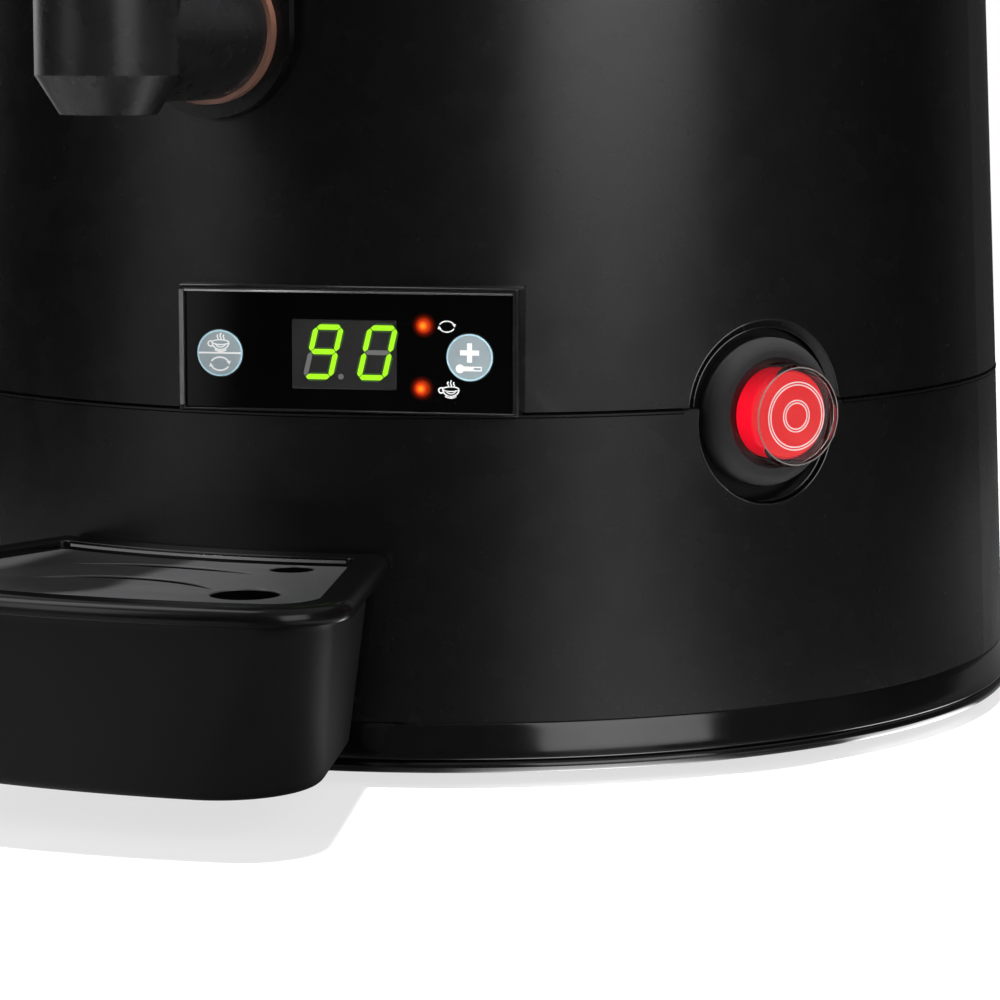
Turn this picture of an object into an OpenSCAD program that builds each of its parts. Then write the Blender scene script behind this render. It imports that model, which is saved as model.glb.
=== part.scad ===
/* [Drum] */
// Radius of the lip round the foot of the drum
lip_r = 140; // [125:1:160]
// Height of the rounded lip
lip_h = 2.9; // [2.5:0.1:5]
// Height of the polished foot ring, lip included
ring_h = 11.1; // [8:0.1:16]
// How far the lip stands out past the band above it
lip_step = 1; // [0.5:0.1:1.2]
// How far the lip stands out past the foot of the shells
lip_out = 1.6; // [1.3:0.1:3]
// Gap between the table and the foot ring
foot_gap = 3.2; // [2:0.1:8]
// Height of the seam between lower and upper shell, above the table
seam_z = 81.5; // [76:0.5:90]
// Inward lean of the drum wall, in degrees
draft = 2.4; // [1:0.1:4]
// Wall of the two shells
wall = 3; // [2:0.1:4]
// Width of the bevel on each side of the seam
seam_bevel = 0.4; // [0.2:0.1:0.8]
// Height of the top of the drum
drum_top = 205; // [195:1:225]
// Radius of the rounded shoulder
shoulder_r = 8; // [4:0.5:12]

/* [Control panel] */
// Direction that the panel faces, degrees right of the front
panel_az = 11; // [6:0.5:16]
// Sideways shift of the panel along its own face
panel_shift = 4.5; // [0:0.5:8]
// Width of the panel frame
panel_w = 75.8; // [72:0.2:82]
// Height of the panel frame above the seam
panel_h = 27.8; // [25:0.2:30]
// How far the middle of the panel face lies inside the wall at the seam
panel_in = 1; // [0:0.1:2]
// Width of the raised bars of the panel frame
bar_w = 1.6; // [1:0.1:2]
// Height of the raised bars above the panel face
bar_rise = 0.8; // [0.4:0.1:1.5]
// Depth of the panel frame behind its face
frame_depth = 11; // [10:0.5:14]
// Thickness of the glossy panel face
face_t = 2; // [1.5:0.1:3]
// Diameter of the two keys
key_d = 10.1; // [8:0.1:12]
// Distance of the stir and heat key from the left edge of the panel
mode_edge = 9.3; // [9:0.1:12]
// Distance of the temperature key from the right edge of the panel
temp_edge = 10.9; // [9:0.1:13]
// Height of the keys above the seam
key_v = 12.7; // [11:0.1:14]
// Travel of the keys
key_travel = 0.6; // [0.3:0.1:0.8]
// Width of the display window
window_w = 23.5; // [20:0.1:26]
// Height of the display window
window_h = 15.3; // [13:0.1:17]
// Sideways place of the display window
window_u = -0.8; // [-4:0.1:1]
// Height of the middle of the display window above the seam
window_v = 12.8; // [11:0.1:14]
// Diameter of the two indicator lamps
lamp_d = 3; // [2:0.5:4]
// Distance of the indicator lamps left of the temperature key
lamp_gap = 10.3; // [9:0.1:11]
// Height of the lower indicator lamp above the seam
lamp_low_v = 5.8; // [4:0.1:7]
// Height of the upper indicator lamp above the seam
lamp_high_v = 19.4; // [17:0.1:21]

/* [Power switch] */
// Direction of the switch, degrees right of the front
switch_az = 53.7; // [45:0.1:70]
// Height of the switch above the table
switch_z = 80; // [74:0.5:84]
// Diameter of the round recess
recess_d = 40.8; // [36:0.2:46]
// Diameter of the part of the recess in the lower shell
low_recess_d = 36.4; // [35:0.2:40]
// How far the middle of that part lies below the switch
low_recess_drop = 2.3; // [0:0.1:3]
// Depth of the recess
recess_depth = 3.6; // [2.5:0.1:5]
// Diameter of the soft ring round the button
ring_d = 33; // [30:0.5:34]
// How far the soft ring stands out of the drum wall
ring_out = 2.6; // [2:0.1:4]
// Diameter of the clear cap
cap_d = 22.7; // [18:0.1:24]
// How far the clear cap stands out of the drum wall
cap_out = 11.2; // [10.5:0.1:14]
// Thickness of the clear cap
cap_t = 1; // [0.6:0.1:1.5]
// Travel of the button
switch_travel = 3; // [1:0.5:4]

/* [Drip tray] */
// How far the front edge of the tray stands out past the lip
tray_out = 74; // [70:1:95]
// Half of the angle that the tray spans, in degrees
tray_half = 17; // [14:0.1:20]
// Height of the top of the tray rim above the table
rim_z = 51.4; // [46:0.2:56]
// Thickness of the tray rim
rim_t = 4.1; // [3.8:0.1:5]
// Width of the tray rim
rim_w = 7; // [6:0.5:9]
// Height of the raised lip along the back of the rim
back_lip = 0.2; // [0.1:0.1:3]
// Height of the underside of the tray above the table
tray_z = 10.2; // [8:0.1:18]
// Rounding of the front corners
front_round = 17; // [12:0.5:22]
// Rounding of the back corners
back_round = 3.5; // [2.5:0.5:10]
// Wall of the tray
tray_wall = 3; // [2:0.1:4]
// Thickness of the grid plate
grid_t = 2.2; // [1.6:0.1:3]
// Depth of the grid plate below the rim
grid_drop = 1.9; // [0.5:0.1:2.5]
// Radius of the inner curved drain slot
slot_in_r = 28; // [24:0.5:32]
// Radius of the outer curved drain slot
slot_out_r = 45; // [40:0.5:48]
// Direction of the tips of the inner slot, degrees from its middle
slot_in_tip = 48; // [40:1:52]
// Direction of the tips of the outer slot, degrees from its middle
slot_out_tip = 28; // [24:1:30]
// Width of the curved drain slots at their middle
slot_w = 3.6; // [2:0.1:5]
// Distance of the middle of the curves behind the front edge of the tray
slot_back = 14; // [10:1:18]
// Diameter of the front drain hole
hole_front_d = 14.6; // [8:0.2:16]
// Distance of the front drain hole behind the front edge of the tray
hole_front_back = 29; // [22:1:34]
// Diameter of the back drain hole
hole_back_d = 9.6; // [6:0.2:10]
// Distance of the back drain hole in front of the back edge of the tray
hole_back_out = 13; // [12.8:0.1:18]
// Direction of the drain holes, degrees right of the front
hole_az = 9.4; // [8:0.1:11]
// Width of the two tongues that hang the tray on the drum
tongue_w = 14; // [10:0.5:18]
// Thickness of the tongues
tongue_t = 4; // [3:0.2:6]
// Sideways place of the tongues
tongue_x = 21; // [16:1:24]

/* [Bowl and lid] */
// How far the foot of the bowl lies inside the lip of the drum
bowl_in = 40; // [38:1:50]
// Height of the rim of the bowl above the drum
bowl_rise = 167; // [130:1:215]
// Outward lean of the bowl wall, in degrees
bowl_lean = 2.6; // [1:0.1:4]
// Wall of the bowl
bowl_wall = 3; // [2:0.1:4]
// Height of the lid above the rim of the bowl
lid_rise = 14; // [8:1:30]
// Radius of the lid knob
knob_r = 20; // [15:0.5:28]
// Height of the lid knob above the lid
knob_h = 24; // [18:1:34]

/* [Tap] */
// Distance of the tap barrel in front of the lip of the drum
tap_out = 42; // [38:1:50]
// Height of the middle of the outlet pipe above the heating plate
pipe_rise = 14; // [13:0.5:18]
// Bore radius of the outlet pipe
pipe_bore = 8.4; // [6:0.2:8.6]
// Outer radius of the outlet pipe
pipe_r = 11; // [10.4:0.1:12]
// Bore radius of the tap barrel
barrel_bore = 11; // [10:0.1:12]
// Outer radius of the tap barrel and neck
barrel_r = 15; // [14:0.2:17]
// Length of the lever arm between its pin and the piston stem
lever_arm = 13; // [12:0.5:15]
// Length of the lever handle above its pin
handle_l = 48; // [35:1:60]

/* [Drive and heating] */
// Radius of the stirrer shaft
shaft_r = 5; // [4:0.5:6]
// Depth of the top face of the heating plate below the top of the drum
plate_drop = 55; // [50:1:58]
// How far the edge of the heating plate lies inside the foot of the bowl
plate_in = 8; // [3:1:16]
// Thickness of the heating plate
plate_t = 6; // [4:0.5:10]
// Height of the steel deck that carries the drive, above the panel frame
deck_rise = 2.7; // [2.5:0.1:7]
// Tooth module of the gear pair
gear_module = 1.5; // [1:0.1:1.6]
// Teeth of the shaft gear
gear_teeth = 56; // [48:1:60]
// Teeth of the motor pinion
pinion_teeth = 14; // [12:1:18]
// Thickness of the shaft gear
gear_t = 8; // [5:0.5:9]

/* [Hidden] */
$fn = 96;

// Small overlap that keeps cuts clean
eps = 0.01;
// Gap between pieces that move past each other
clear = 0.4;
// Gap between a lifted piece and its seat
seat_gap = 0.3;
// Radial gap of a shaft in its bore
run_gap = 0.05;
// Gap between pieces that are fitted together
fit_gap = 0.15;
// Overrun of a cut past the face that it opens
cut = 1;
// Length of a cut that passes right through a wall
through = 40;
// Side of a block larger than the machine
far = 4 * lip_r;
// The drum axis stands behind the middle of the footprint
axis_y = tray_out / 2;

// Screws
screw_r = 1.6;
screw_room = 0.6;
screw_head_r = 3.5;
screw_head_h = 2;
screw_bite = 3;

// Drum
ring_top = foot_gap + ring_h;
seam_r = lip_r - lip_out - (seam_z - ring_top) * tan(draft);
function shell_r(z) = seam_r + (seam_z - z) * tan(draft);
top_r = shell_r(drum_top);
band_r = lip_r - lip_step;
band_taper = 0.3;
ring_edge = 0.9;
register_h = 6;
register_t = 2;
register_root = 4;
register_foot = 10;
base_t = 3;
base_z = foot_gap + 3;
base_r = lip_r - 8;
flange_r = base_r - 10;
base_screw_r = (base_r + flange_r) / 2;
base_screws_at = [30, 90, 150, 210, 270, 330];
base_vents = 3;
base_vent_w = 4;
base_vent_l = 50;
base_vent_y = 40;
base_vent_step = 11;
foot_r = 12;
foot_edge = 1.5;
foot_taper = 1;
foot_ring_r = base_r - 27;
feet_at = [45, 135, 225, 315];
vent_w = 3;
vent_h = 21;
vent_z = 47;
vents_at = [150 : 10 : 210];
// Lugs in the upper shell that carry the deck
deck_z = seam_z + panel_h + deck_rise;
deck_t = 2;
deck_r = shell_r(deck_z) - wall - 4;
deck_screw_r = deck_r - 3.5;
lug_at = [100, 160, 220, 280];
lug_w = 16;
lug_l = 9;
lug_h = 8;
// Holes in the deck for wires
wire_hole_r = 7;
wire_hole_x = deck_r - 30;
wire_hole_y = 20;

// Control panel
panel_dist = seam_r - panel_in;
mode_u = mode_edge - panel_w / 2;
temp_u = panel_w / 2 - temp_edge;
lamp_u = temp_u - lamp_gap;
panel_room = 3;
low_bar = bar_w / 2;
face_h = panel_h - bar_w - low_bar;
key_flange = 1;
key_proud = 0.3;
key_back = face_t + 1.3;
key_post = 1;
key_post_r = 1.6;
dome_gap = 0.3;
dome_r = 1.75;
dome_h = 1;
key_switch_w = 6;
board_t = 1.6;
board_edge = 0.5;
frame_inset = 1;
display_drop = 0.4;
lamp_dome = 0.6;

// Power switch
switch_wall = shell_r(switch_z);
recess_floor = switch_wall - recess_depth;
boss_t = 5;
boss_back = recess_floor - boss_t;
boss_r = recess_d / 2 + 3;
boss_room = 1;
barrel_thread_r = 10;
switch_flange_t = 2;
switch_flange_r = ring_d / 2 - 0.4;
ring_round = 3;
ring_bevel = 0.8;
cap_round = 1.4;
button_edge = 0.6;
switch_front = switch_wall + ring_out;
cap_front = switch_wall + cap_out;
cap_back = recess_floor + switch_flange_t + switch_travel + seat_gap;
stem_r = 4;
stem_l = 12;
switch_depth = 24;
switch_case = 22;
switch_case_h = 14;
nut_t = 6;
nut_r = barrel_thread_r + 4.5;
// Blade terminals
terminal_t = 0.8;
terminal_w = 4.8;
terminal_l = 8;
switch_terminal = 5;

// Drip tray
tray_r = lip_r + tray_out;
tray_back = shell_r(rim_z - rim_t) + 0.6;
slot_centre = tray_r - slot_back;
hole_front_r = tray_r - hole_front_back;
hole_back_r = tray_back + hole_back_out;
wall_inset = rim_w - tray_wall;
wall_lean = 4;
foot_growth = 12;
least_round = 2;
foot_round = 2.5;
rim_edge = 2.6;
rim_low_edge = 1;
rim_inner_edge = 0.5;
back_lip_w = 4;
back_lip_crest = 3.2;
back_lip_slope = 0.6;
ledge_w = 1.6;
floor_round = 2;
edge_steps = 3;
grid_top = rim_z - grid_drop;
ledge_z = grid_top - grid_t - seat_gap;
tray_floor = tray_z + tray_wall;
tongue_z = (tray_z + rim_z) / 2 + 5;
tongue_l = 14;
tongue_root = 5.5;
sleeve_wall = 2;
sleeve_l = tongue_l + 2;
sleeve_y = sqrt(pow(tray_back - wall, 2) - pow(tongue_x, 2));
arc_steps = 10;
sweep_steps = 28;

// Bowl, lid and outlet pipe
plate_z = drum_top - plate_drop;
bowl_z = plate_z + seat_gap;
bowl_r = lip_r - bowl_in;
bowl_top = drum_top + bowl_rise;
bowl_floor = 4;
function bowl_out(z) = bowl_r + (z - bowl_z) * tan(bowl_lean);
bowl_round = 6;
rim_bead = 3;
rim_bead_h = 6;
collar_gap = 4.5;
opening_r = bowl_out(drum_top) + collar_gap;
collar_drop = 8;
collar_lip = 2;
chimney_in = shaft_r + 7;
chimney_out = chimney_in + 3;
chimney_top = bowl_z + 40;
seal_r = shaft_r + 3;
seal_t = 4;
tap_dist = lip_r + tap_out;
pipe_z = plate_z + pipe_rise;
pipe_root = bowl_out(pipe_z) - bowl_wall / 2;
pipe_end = tap_dist - barrel_r - 9;
notch_r = pipe_r + 4.5;
cover_t = 2.5;
cover_y = shell_r(pipe_z - notch_r) + 0.8;
cover_r = notch_r + 3.5;
cover_drop = 1;
gasket_t = 2.5;
lid_z = bowl_top + seat_gap;
lid_t = 3;
lid_r = bowl_out(bowl_top) + rim_bead + 1;
lid_edge = 1;
lid_steps = 12;
lid_skirt = 8;
lid_skirt_t = 2.5;
lid_skirt_r = bowl_out(bowl_top - rim_bead_h - lid_skirt) - bowl_wall - 1;
lid_crown = lid_z + lid_rise;
knob_top = lid_crown + knob_h;
knob_stem_r = 9;
knob_foot = 3;
knob_foot_h = 4;
knob_round = 4;
knob_head_h = 13;
knob_flat_r = knob_r / 2;
knob_screw_r = 2;
knob_screw_head_r = 5;
knob_screw_head_h = 3;
knob_screw_l = 11;

// Tap
neck_y = cover_y + cover_t + gasket_t;
nozzle_z = pipe_z - 17;
nozzle_r = 10;
nozzle_bore = 7;
nozzle_flare = 3;
seat_z = pipe_z - 12;
piston_z = seat_z + 2;
piston_h = 22;
bonnet_z = piston_z + piston_h + 24;
bonnet_plug = 4;
bonnet_t = 3;
pin_z = bonnet_z + bonnet_t + 13;
rod_r = 3.5;
pin_r = 2;
hinge_y = tap_dist + lever_arm;
fork_in = rod_r + 0.7;
fork_out = 7;
fork_gap = pin_r + 0.8;
fork_h = 5.4;
ear_in = fork_out + 1;
ear_out = ear_in + 3;
ear_half = 4.5;
ear_root_back = 4;
ear_root_front = 9;
rod_rise = 4;
lever_front = 6;
lever_back = 5;
lever_reach = 7;
slot_room = 3;
handle_t = 6;
handle_lean = 8;
handle_root = 10;
paddle_half = 13;
paddle_z = handle_l / 2;
paddle_edge = 2;
spring_wire = 0.6;
spring_r = 7;
spring_turns = 6;
spring_rings = 8;
spring_sides = 6;

// Drive
gear_r = gear_module * gear_teeth / 2;
pinion_r = gear_module * pinion_teeth / 2;
mesh_gap = 0.25;
gear_span = gear_r + pinion_r + mesh_gap;
case_t = 3;
case_gap = 2.5;
cover_plate_t = 2;
case_top = deck_z - cover_plate_t;
gear_z = case_top - 1 - gear_t;
case_z = gear_z - 2 - case_t;
pinion_shaft_r = 3;
pinion_shaft_room = 1;
pinion_shaft_in = 4;
gear_hub = 6;
gear_hub_rise = 0.6;
web_hole_r = 7;
web_hole_ring = gear_r - 17;
web_holes = 6;
bush_wall = 4;
bush_rise = 4;
bush_flange = 4;
bush_flange_t = 2;
low_bush_wall = 3;
low_bush_drop = 2;
motor_r = 26;
motor_h = 45;
motor_nose_r = 8;
motor_nose_h = 4;
motor_band = 1;
motor_band_h = 14;
motor_band_z = 8;
shaft_bottom = case_z - 3;
shoulder_z = chimney_top + 4;
hex_r = shaft_r - 0.5;
hex_h = 10;
hub_in = chimney_out + 1;
hub_out = hub_in + 5;
hub_z = bowl_z + bowl_floor + 3.5;
hub_top = shoulder_z + hex_h + 6;
hub_round = 3;
hub_taper = 1;
blade_r = bowl_r - bowl_wall - 8;
blade_t = 4;
blade_w = 22;
blade_h = 90;
arm_w = 12;
arm_h = 7;
cross_r = blade_r - 30;
cross_w = 8;

// Heating
plate_r = bowl_r - plate_in;
plate_bottom = plate_z - plate_t;
plate_hole = chimney_in + 4;
post_r = 5;
post_ring = plate_r - 14;
posts_at = [60, 180, 300];
heater_r = plate_r - 30;
heater_tube = 4;
heater_leg_r = 3;
heater_legs_at = [-7, 7];
heater_leg_gap = 4;
probe_x = plate_r - 52;
probe_w = 10;
probe_d = 12;
probe_h = 5;
probe_tube_r = 2;
probe_tube_l = 24;
cutout_r = 8;
cutout_h = 5;
cutout_pin = 4;

// Gland and power board
gland_z = 33;
gland_bore = 3.75;
gland_thread_r = 7;
gland_head_r = 10;
gland_head_t = 3;
gland_y = shell_r(gland_z) - 1.2;
gland_l = 12;
gland_nut_t = 5;
gland_nut_gap = 1.4;
board_w = 64;
board_d = 84;
board_x = -(base_r - board_w / 2 - 34);
board_y = -2;
board_z = base_z + base_t + 8;
board_post_r = 3.5;
board_post_in = 5;
coil_w = 30;
coil_d = 28;
coil_h = 25;
coil_y = 18;
part_y = -14;
capacitor_r = 9;
capacitor_h = 24;
capacitor_x = -16;
relay_w = 16;
relay_d = 20;
relay_h = 17;
relay_x = 14;
block_w = 10;
block_d = 8;
block_h = 12;
block_y = -33;
blocks_x = [-20, -8, 4, 16];

// A node's own frame at a direction round the drum: x to the right, y up and z outwards from the axis
module facing(az, z) {
    rotate([0, 0, az]) translate([0, 0, z]) rotate([90, 0, 0]) children();
}

// The frame of the panel: x and y in its face, from the middle of its lower edge, z outwards
module on_panel() {
    facing(panel_az, seam_z) translate([panel_shift, 0, panel_dist]) children();
}

module on_switch() {
    facing(switch_az, switch_z) children();
}

// A tube between two distances along z
module tube(outer, inner, from, to) {
    translate([0, 0, from]) difference() {
        cylinder(r = outer, h = to - from);
        translate([0, 0, -eps]) cylinder(r = inner, h = to - from + 2 * eps);
    }
}

// A bar with its lower face at z = from
module bar(x, y, from, to) {
    translate([-x / 2, -y / 2, from]) cube([x, y, to - from]);
}

// Points of an arc about a centre
function arc(c, r, from, to, n) =
    [for (i = [0 : n]) let (a = from + (to - from) * i / n) [c[0] + r * cos(a), c[1] + r * sin(a)]];

// Copies at a radius and a list of directions, measured from the front
module ring_of(r, at) {
    for (a = at) rotate([0, 0, a]) translate([0, -r, 0]) children();
}

// The thick pad behind the round recess of the switch, grown by some room
module switch_boss(room) {
    on_switch() translate([0, 0, boss_back - room])
        cylinder(r = boss_r + room, h = recess_floor - boss_back + 1 + 2 * room);
}

// The recess of the switch, of a diameter about a middle some way below it, and the hole behind it
module switch_recess(d, drop) {
    on_switch() {
        translate([0, -drop, recess_floor]) cylinder(d = d, h = through);
        translate([0, 0, boss_back - through / 2]) cylinder(r = barrel_thread_r + fit_gap, h = through);
    }
}

module above_seam() translate([0, 0, seam_z + far / 2]) cube(far, center = true);

module below_seam() translate([0, 0, seam_z - far / 2]) cube(far, center = true);

// Foot of the drum
module base_plate() color("#1b1b1c") difference() {
    translate([0, 0, base_z]) cylinder(r = base_r, h = base_t);
    translate([0, 0, base_z - cut]) {
        ring_of(base_screw_r, base_screws_at) cylinder(r = screw_r + screw_room, h = base_t + 2 * cut);
        for (i = [-base_vents : base_vents])
            translate([i * base_vent_step - base_vent_w / 2, base_vent_y, 0])
                cube([base_vent_w, base_vent_l, base_t + 2 * cut]);
    }
}

module rubber_feet() color("#262626") ring_of(foot_ring_r, feet_at)
    rotate_extrude() polygon([[0, 0], [foot_r - foot_edge, 0], [foot_r, foot_edge],
        [foot_r - foot_taper, base_z], [0, base_z]]);

// Inner radius of the shells, with room for the ring that registers in them
function register_r(z) = shell_r(z) - wall - fit_gap;

module foot_ring() color("#0d0d0e") difference() {
    rotate_extrude() polygon(concat(
        [[base_r + fit_gap, foot_gap], [lip_r - lip_h / 2, foot_gap]],
        arc([lip_r - lip_h / 2, foot_gap + lip_h / 2], lip_h / 2, -80, 60, 6),
        [[band_r, foot_gap + lip_h], [band_r - band_taper, ring_top - ring_edge],
        [shell_r(ring_top) - seam_bevel, ring_top], [register_r(ring_top), ring_top],
        [register_r(ring_top + register_h), ring_top + register_h],
        [register_r(ring_top + register_h) - register_t, ring_top + register_h],
        [flange_r, ring_top], [flange_r, base_z + base_t], [base_r + fit_gap, base_z + base_t]]));
    translate([0, 0, base_z]) ring_of(base_screw_r, base_screws_at)
        cylinder(r = screw_r, h = base_t + screw_bite + cut);
}

module base_screws() color("silver") ring_of(base_screw_r, base_screws_at) union() {
    translate([0, 0, base_z - screw_head_h]) cylinder(r = screw_head_r, h = screw_head_h);
    translate([0, 0, base_z - eps]) cylinder(r = screw_r, h = base_t + screw_bite);
}

// Two tongues of the tray, with room around them
module tongues(room) {
    for (s = [-1, 1]) translate([s * tongue_x - tongue_w / 2 - room, -tray_back - tongue_root,
        tongue_z - tongue_t / 2 - room])
        cube([tongue_w + 2 * room, tongue_root + wall + tongue_l + 2 * room, tongue_t + 2 * room]);
}

// Sleeves inside the lower shell that the tongues slide into
module sleeves() {
    side = clear + sleeve_wall;
    for (s = [-1, 1])
        translate([s * tongue_x - tongue_w / 2 - side, -sleeve_y, tongue_z - tongue_t / 2 - side])
            cube([tongue_w + 2 * side, sleeve_l, tongue_t + 2 * side]);
}

module lower_shell() color("#0b0b0c") difference() {
    union() {
        rotate_extrude() polygon([
            [shell_r(ring_top) - wall, ring_top], [shell_r(ring_top), ring_top],
            [shell_r(seam_z - seam_bevel), seam_z - seam_bevel], [seam_r - seam_bevel, seam_z],
            [register_r(seam_z), seam_z], [register_r(seam_z + register_h), seam_z + register_h],
            [register_r(seam_z + register_h) - register_t, seam_z + register_h],
            [register_r(seam_z + register_h) - register_t, seam_z - register_root],
            [shell_r(seam_z - register_foot) - wall, seam_z - register_foot]]);
        intersection() {
            switch_boss(0);
            below_seam();
        }
        sleeves();
    }
    switch_recess(low_recess_d, low_recess_drop);
    tongues(clear);
    intersection() {
        switch_boss(boss_room);
        above_seam();
    }
    on_panel() translate([-panel_w / 2 - panel_room, 0, -frame_depth - through / 2])
        cube([panel_w + 2 * panel_room, register_h + cut, frame_depth + through]);
    translate([0, 0, vent_z]) ring_of(shell_r(vent_z), vents_at)
        translate([-vent_w / 2, -through / 2, 0]) cube([vent_w, through, vent_h]);
    facing(180, gland_z) {
        translate([0, 0, gland_y - gland_l]) cylinder(r = gland_thread_r + fit_gap, h = through);
        translate([0, 0, gland_y]) cylinder(r = gland_head_r + fit_gap, h = through);
    }
}

module upper_shell() color("#0b0b0c") difference() {
    union() {
        rotate_extrude() polygon(concat(
            [[seam_r - wall, seam_z], [seam_r - seam_bevel, seam_z],
            [shell_r(seam_z + seam_bevel), seam_z + seam_bevel]],
            arc([top_r - shoulder_r, drum_top - shoulder_r], shoulder_r, 0, 90, 10),
            [[opening_r, drum_top], [opening_r, drum_top - collar_drop],
            [opening_r + wall, drum_top - collar_drop], [opening_r + wall, drum_top - wall]],
            arc([top_r - shoulder_r, drum_top - shoulder_r], shoulder_r - wall, 90, 0, 8)));
        intersection() {
            switch_boss(0);
            above_seam();
        }
        for (a = lug_at) rotate([0, 0, a])
            translate([-lug_w / 2, -shell_r(deck_z) + wall / 2, deck_z - lug_h])
                cube([lug_w, shell_r(deck_z) - wall / 2 - deck_r + lug_l, lug_h]);
    }
    switch_recess(recess_d, 0);
    on_panel() translate([-panel_w / 2 - eps, -through, -frame_depth - through / 2])
        cube([panel_w + 2 * eps, panel_h + through + eps, frame_depth + through]);
    facing(0, pipe_z) {
        cylinder(r = notch_r, h = lip_r);
        translate([-notch_r, 0, 0]) cube([2 * notch_r, drum_top, lip_r]);
    }
    translate([0, 0, deck_z - lug_h - cut]) ring_of(deck_screw_r, lug_at)
        cylinder(r = screw_r, h = lug_h + 2 * cut);
}

module collar_seal() color("#2b2b2b") difference() {
    tube(opening_r - fit_gap, bowl_out(drum_top + collar_lip) + seat_gap, drum_top - collar_drop,
        drum_top + collar_lip);
    facing(0, pipe_z) translate([-notch_r, 0, 0]) cube([2 * notch_r, drum_top, lip_r]);
}

// Control panel
module panel_frame() color("#111112") on_panel() difference() {
    translate([-panel_w / 2, 0, -frame_depth]) cube([panel_w, panel_h, frame_depth + bar_rise]);
    translate([-panel_w / 2 + bar_w, low_bar, -face_t])
        cube([panel_w - 2 * bar_w, face_h, face_t + bar_rise + cut]);
    translate([-panel_w / 2 - cut, -cut, 0]) cube([panel_w + 2 * cut, cut + low_bar, bar_rise + cut]);
    translate([-panel_w / 2 + bar_w + frame_inset, low_bar + frame_inset, -frame_depth - cut])
        cube([panel_w - 2 * (bar_w + frame_inset), face_h - 2 * frame_inset, frame_depth]);
}

module key_hole(u) translate([u, key_v, -face_t - cut])
    cylinder(r = key_d / 2 + seat_gap, h = face_t + 2 * cut);

module panel_face() color("#070708") on_panel() difference() {
    translate([-panel_w / 2 + bar_w + fit_gap, low_bar + fit_gap, -face_t])
        cube([panel_w - 2 * (bar_w + fit_gap), face_h - 2 * fit_gap, face_t]);
    key_hole(mode_u);
    key_hole(temp_u);
    translate([window_u - window_w / 2, window_v - window_h / 2, -face_t - cut])
        cube([window_w, window_h, face_t + 2 * cut]);
    for (v = [lamp_low_v, lamp_high_v]) translate([lamp_u, v, -face_t - cut])
        cylinder(r = lamp_d / 2 + fit_gap, h = face_t + 2 * cut);
}

module display_module() color("#2a2b2c") on_panel()
    translate([window_u - window_w / 2 + fit_gap, window_v - window_h / 2 + fit_gap, -frame_depth])
        cube([window_w - 2 * fit_gap, window_h - 2 * fit_gap, frame_depth - display_drop]);

module indicator_lamps() color("#d5240c") on_panel() for (v = [lamp_low_v, lamp_high_v])
    translate([lamp_u, v, -frame_depth]) rotate_extrude() polygon(concat([[0, 0], [lamp_d / 2, 0]],
        arc([0, frame_depth - lamp_dome], lamp_d / 2, 0, 90, 6)));

// A key with a flange behind the face and a short post towards its switch
module key(u) on_panel() translate([u, key_v, 0]) union() {
    translate([0, 0, -key_back + eps]) cylinder(r = key_d / 2, h = key_back - eps + key_proud);
    translate([0, 0, -key_back]) cylinder(r = key_d / 2 + key_flange, h = key_back - face_t - seat_gap);
    translate([0, 0, -key_back - key_post]) cylinder(r = key_post_r, h = key_post + eps);
}

module mode_key() color("#6f8794") key(mode_u);

module temp_key() color("#6f8794") key(temp_u);

module key_switches() color("#3a3a3a") on_panel() for (u = [mode_u, temp_u])
    translate([u, key_v, 0]) union() {
        bar(key_switch_w, key_switch_w, -frame_depth, -key_back - key_post - key_travel - dome_gap - dome_h);
        translate([0, 0, -frame_depth])
            cylinder(r = dome_r, h = frame_depth - key_back - key_post - key_travel - dome_gap);
    }

module control_board() color("#1f5a34") on_panel()
    translate([-panel_w / 2 + board_edge, board_edge, -frame_depth - board_t])
        cube([panel_w - 2 * board_edge, panel_h - 2 * board_edge, board_t]);

// Power switch
module switch_ring() color("#2d2e30") on_switch() rotate_extrude() polygon(concat(
    [[switch_flange_r, recess_floor], [ring_d / 2, recess_floor]],
    arc([ring_d / 2 - ring_round, switch_front - ring_round], ring_round, 0, 90, 6),
    [[cap_d / 2 + clear + ring_bevel, switch_front], [cap_d / 2 + clear, switch_front - ring_bevel],
    [cap_d / 2 + clear, recess_floor + switch_flange_t],
    [switch_flange_r, recess_floor + switch_flange_t]]));

module switch_body() color("#1d1d1f") on_switch() difference() {
    union() {
        translate([0, 0, recess_floor]) cylinder(r = switch_flange_r, h = switch_flange_t);
        translate([0, 0, recess_floor - switch_depth]) cylinder(r = barrel_thread_r, h = switch_depth);
        bar(switch_case, switch_case, recess_floor - switch_depth - switch_case_h,
            recess_floor - switch_depth + eps);
        for (x = [-1, 1], y = [-1, 1]) translate([x * switch_terminal, y * switch_terminal, 0])
            bar(terminal_t, terminal_w, recess_floor - switch_depth - switch_case_h - terminal_l,
                recess_floor - switch_depth - switch_case_h + eps);
    }
    translate([0, 0, cap_back - stem_l - switch_travel - cut])
        cylinder(r = stem_r + run_gap, h = through);
}

module switch_nut() color("#5c5e60") on_switch() difference() {
    translate([0, 0, boss_back - nut_t]) cylinder(r = nut_r, h = nut_t, $fn = 6);
    translate([0, 0, boss_back - nut_t - cut]) cylinder(r = barrel_thread_r, h = nut_t + 2 * cut);
}

module switch_button() color("#d01818") on_switch() union() {
    rotate_extrude() polygon([[0, cap_back], [cap_d / 2 - cap_t, cap_back],
        [cap_d / 2 - cap_t, cap_front - cap_t - button_edge],
        [cap_d / 2 - cap_t - button_edge, cap_front - cap_t], [0, cap_front - cap_t]]);
    translate([0, 0, cap_back - stem_l]) cylinder(r = stem_r, h = stem_l + eps);
}

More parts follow.
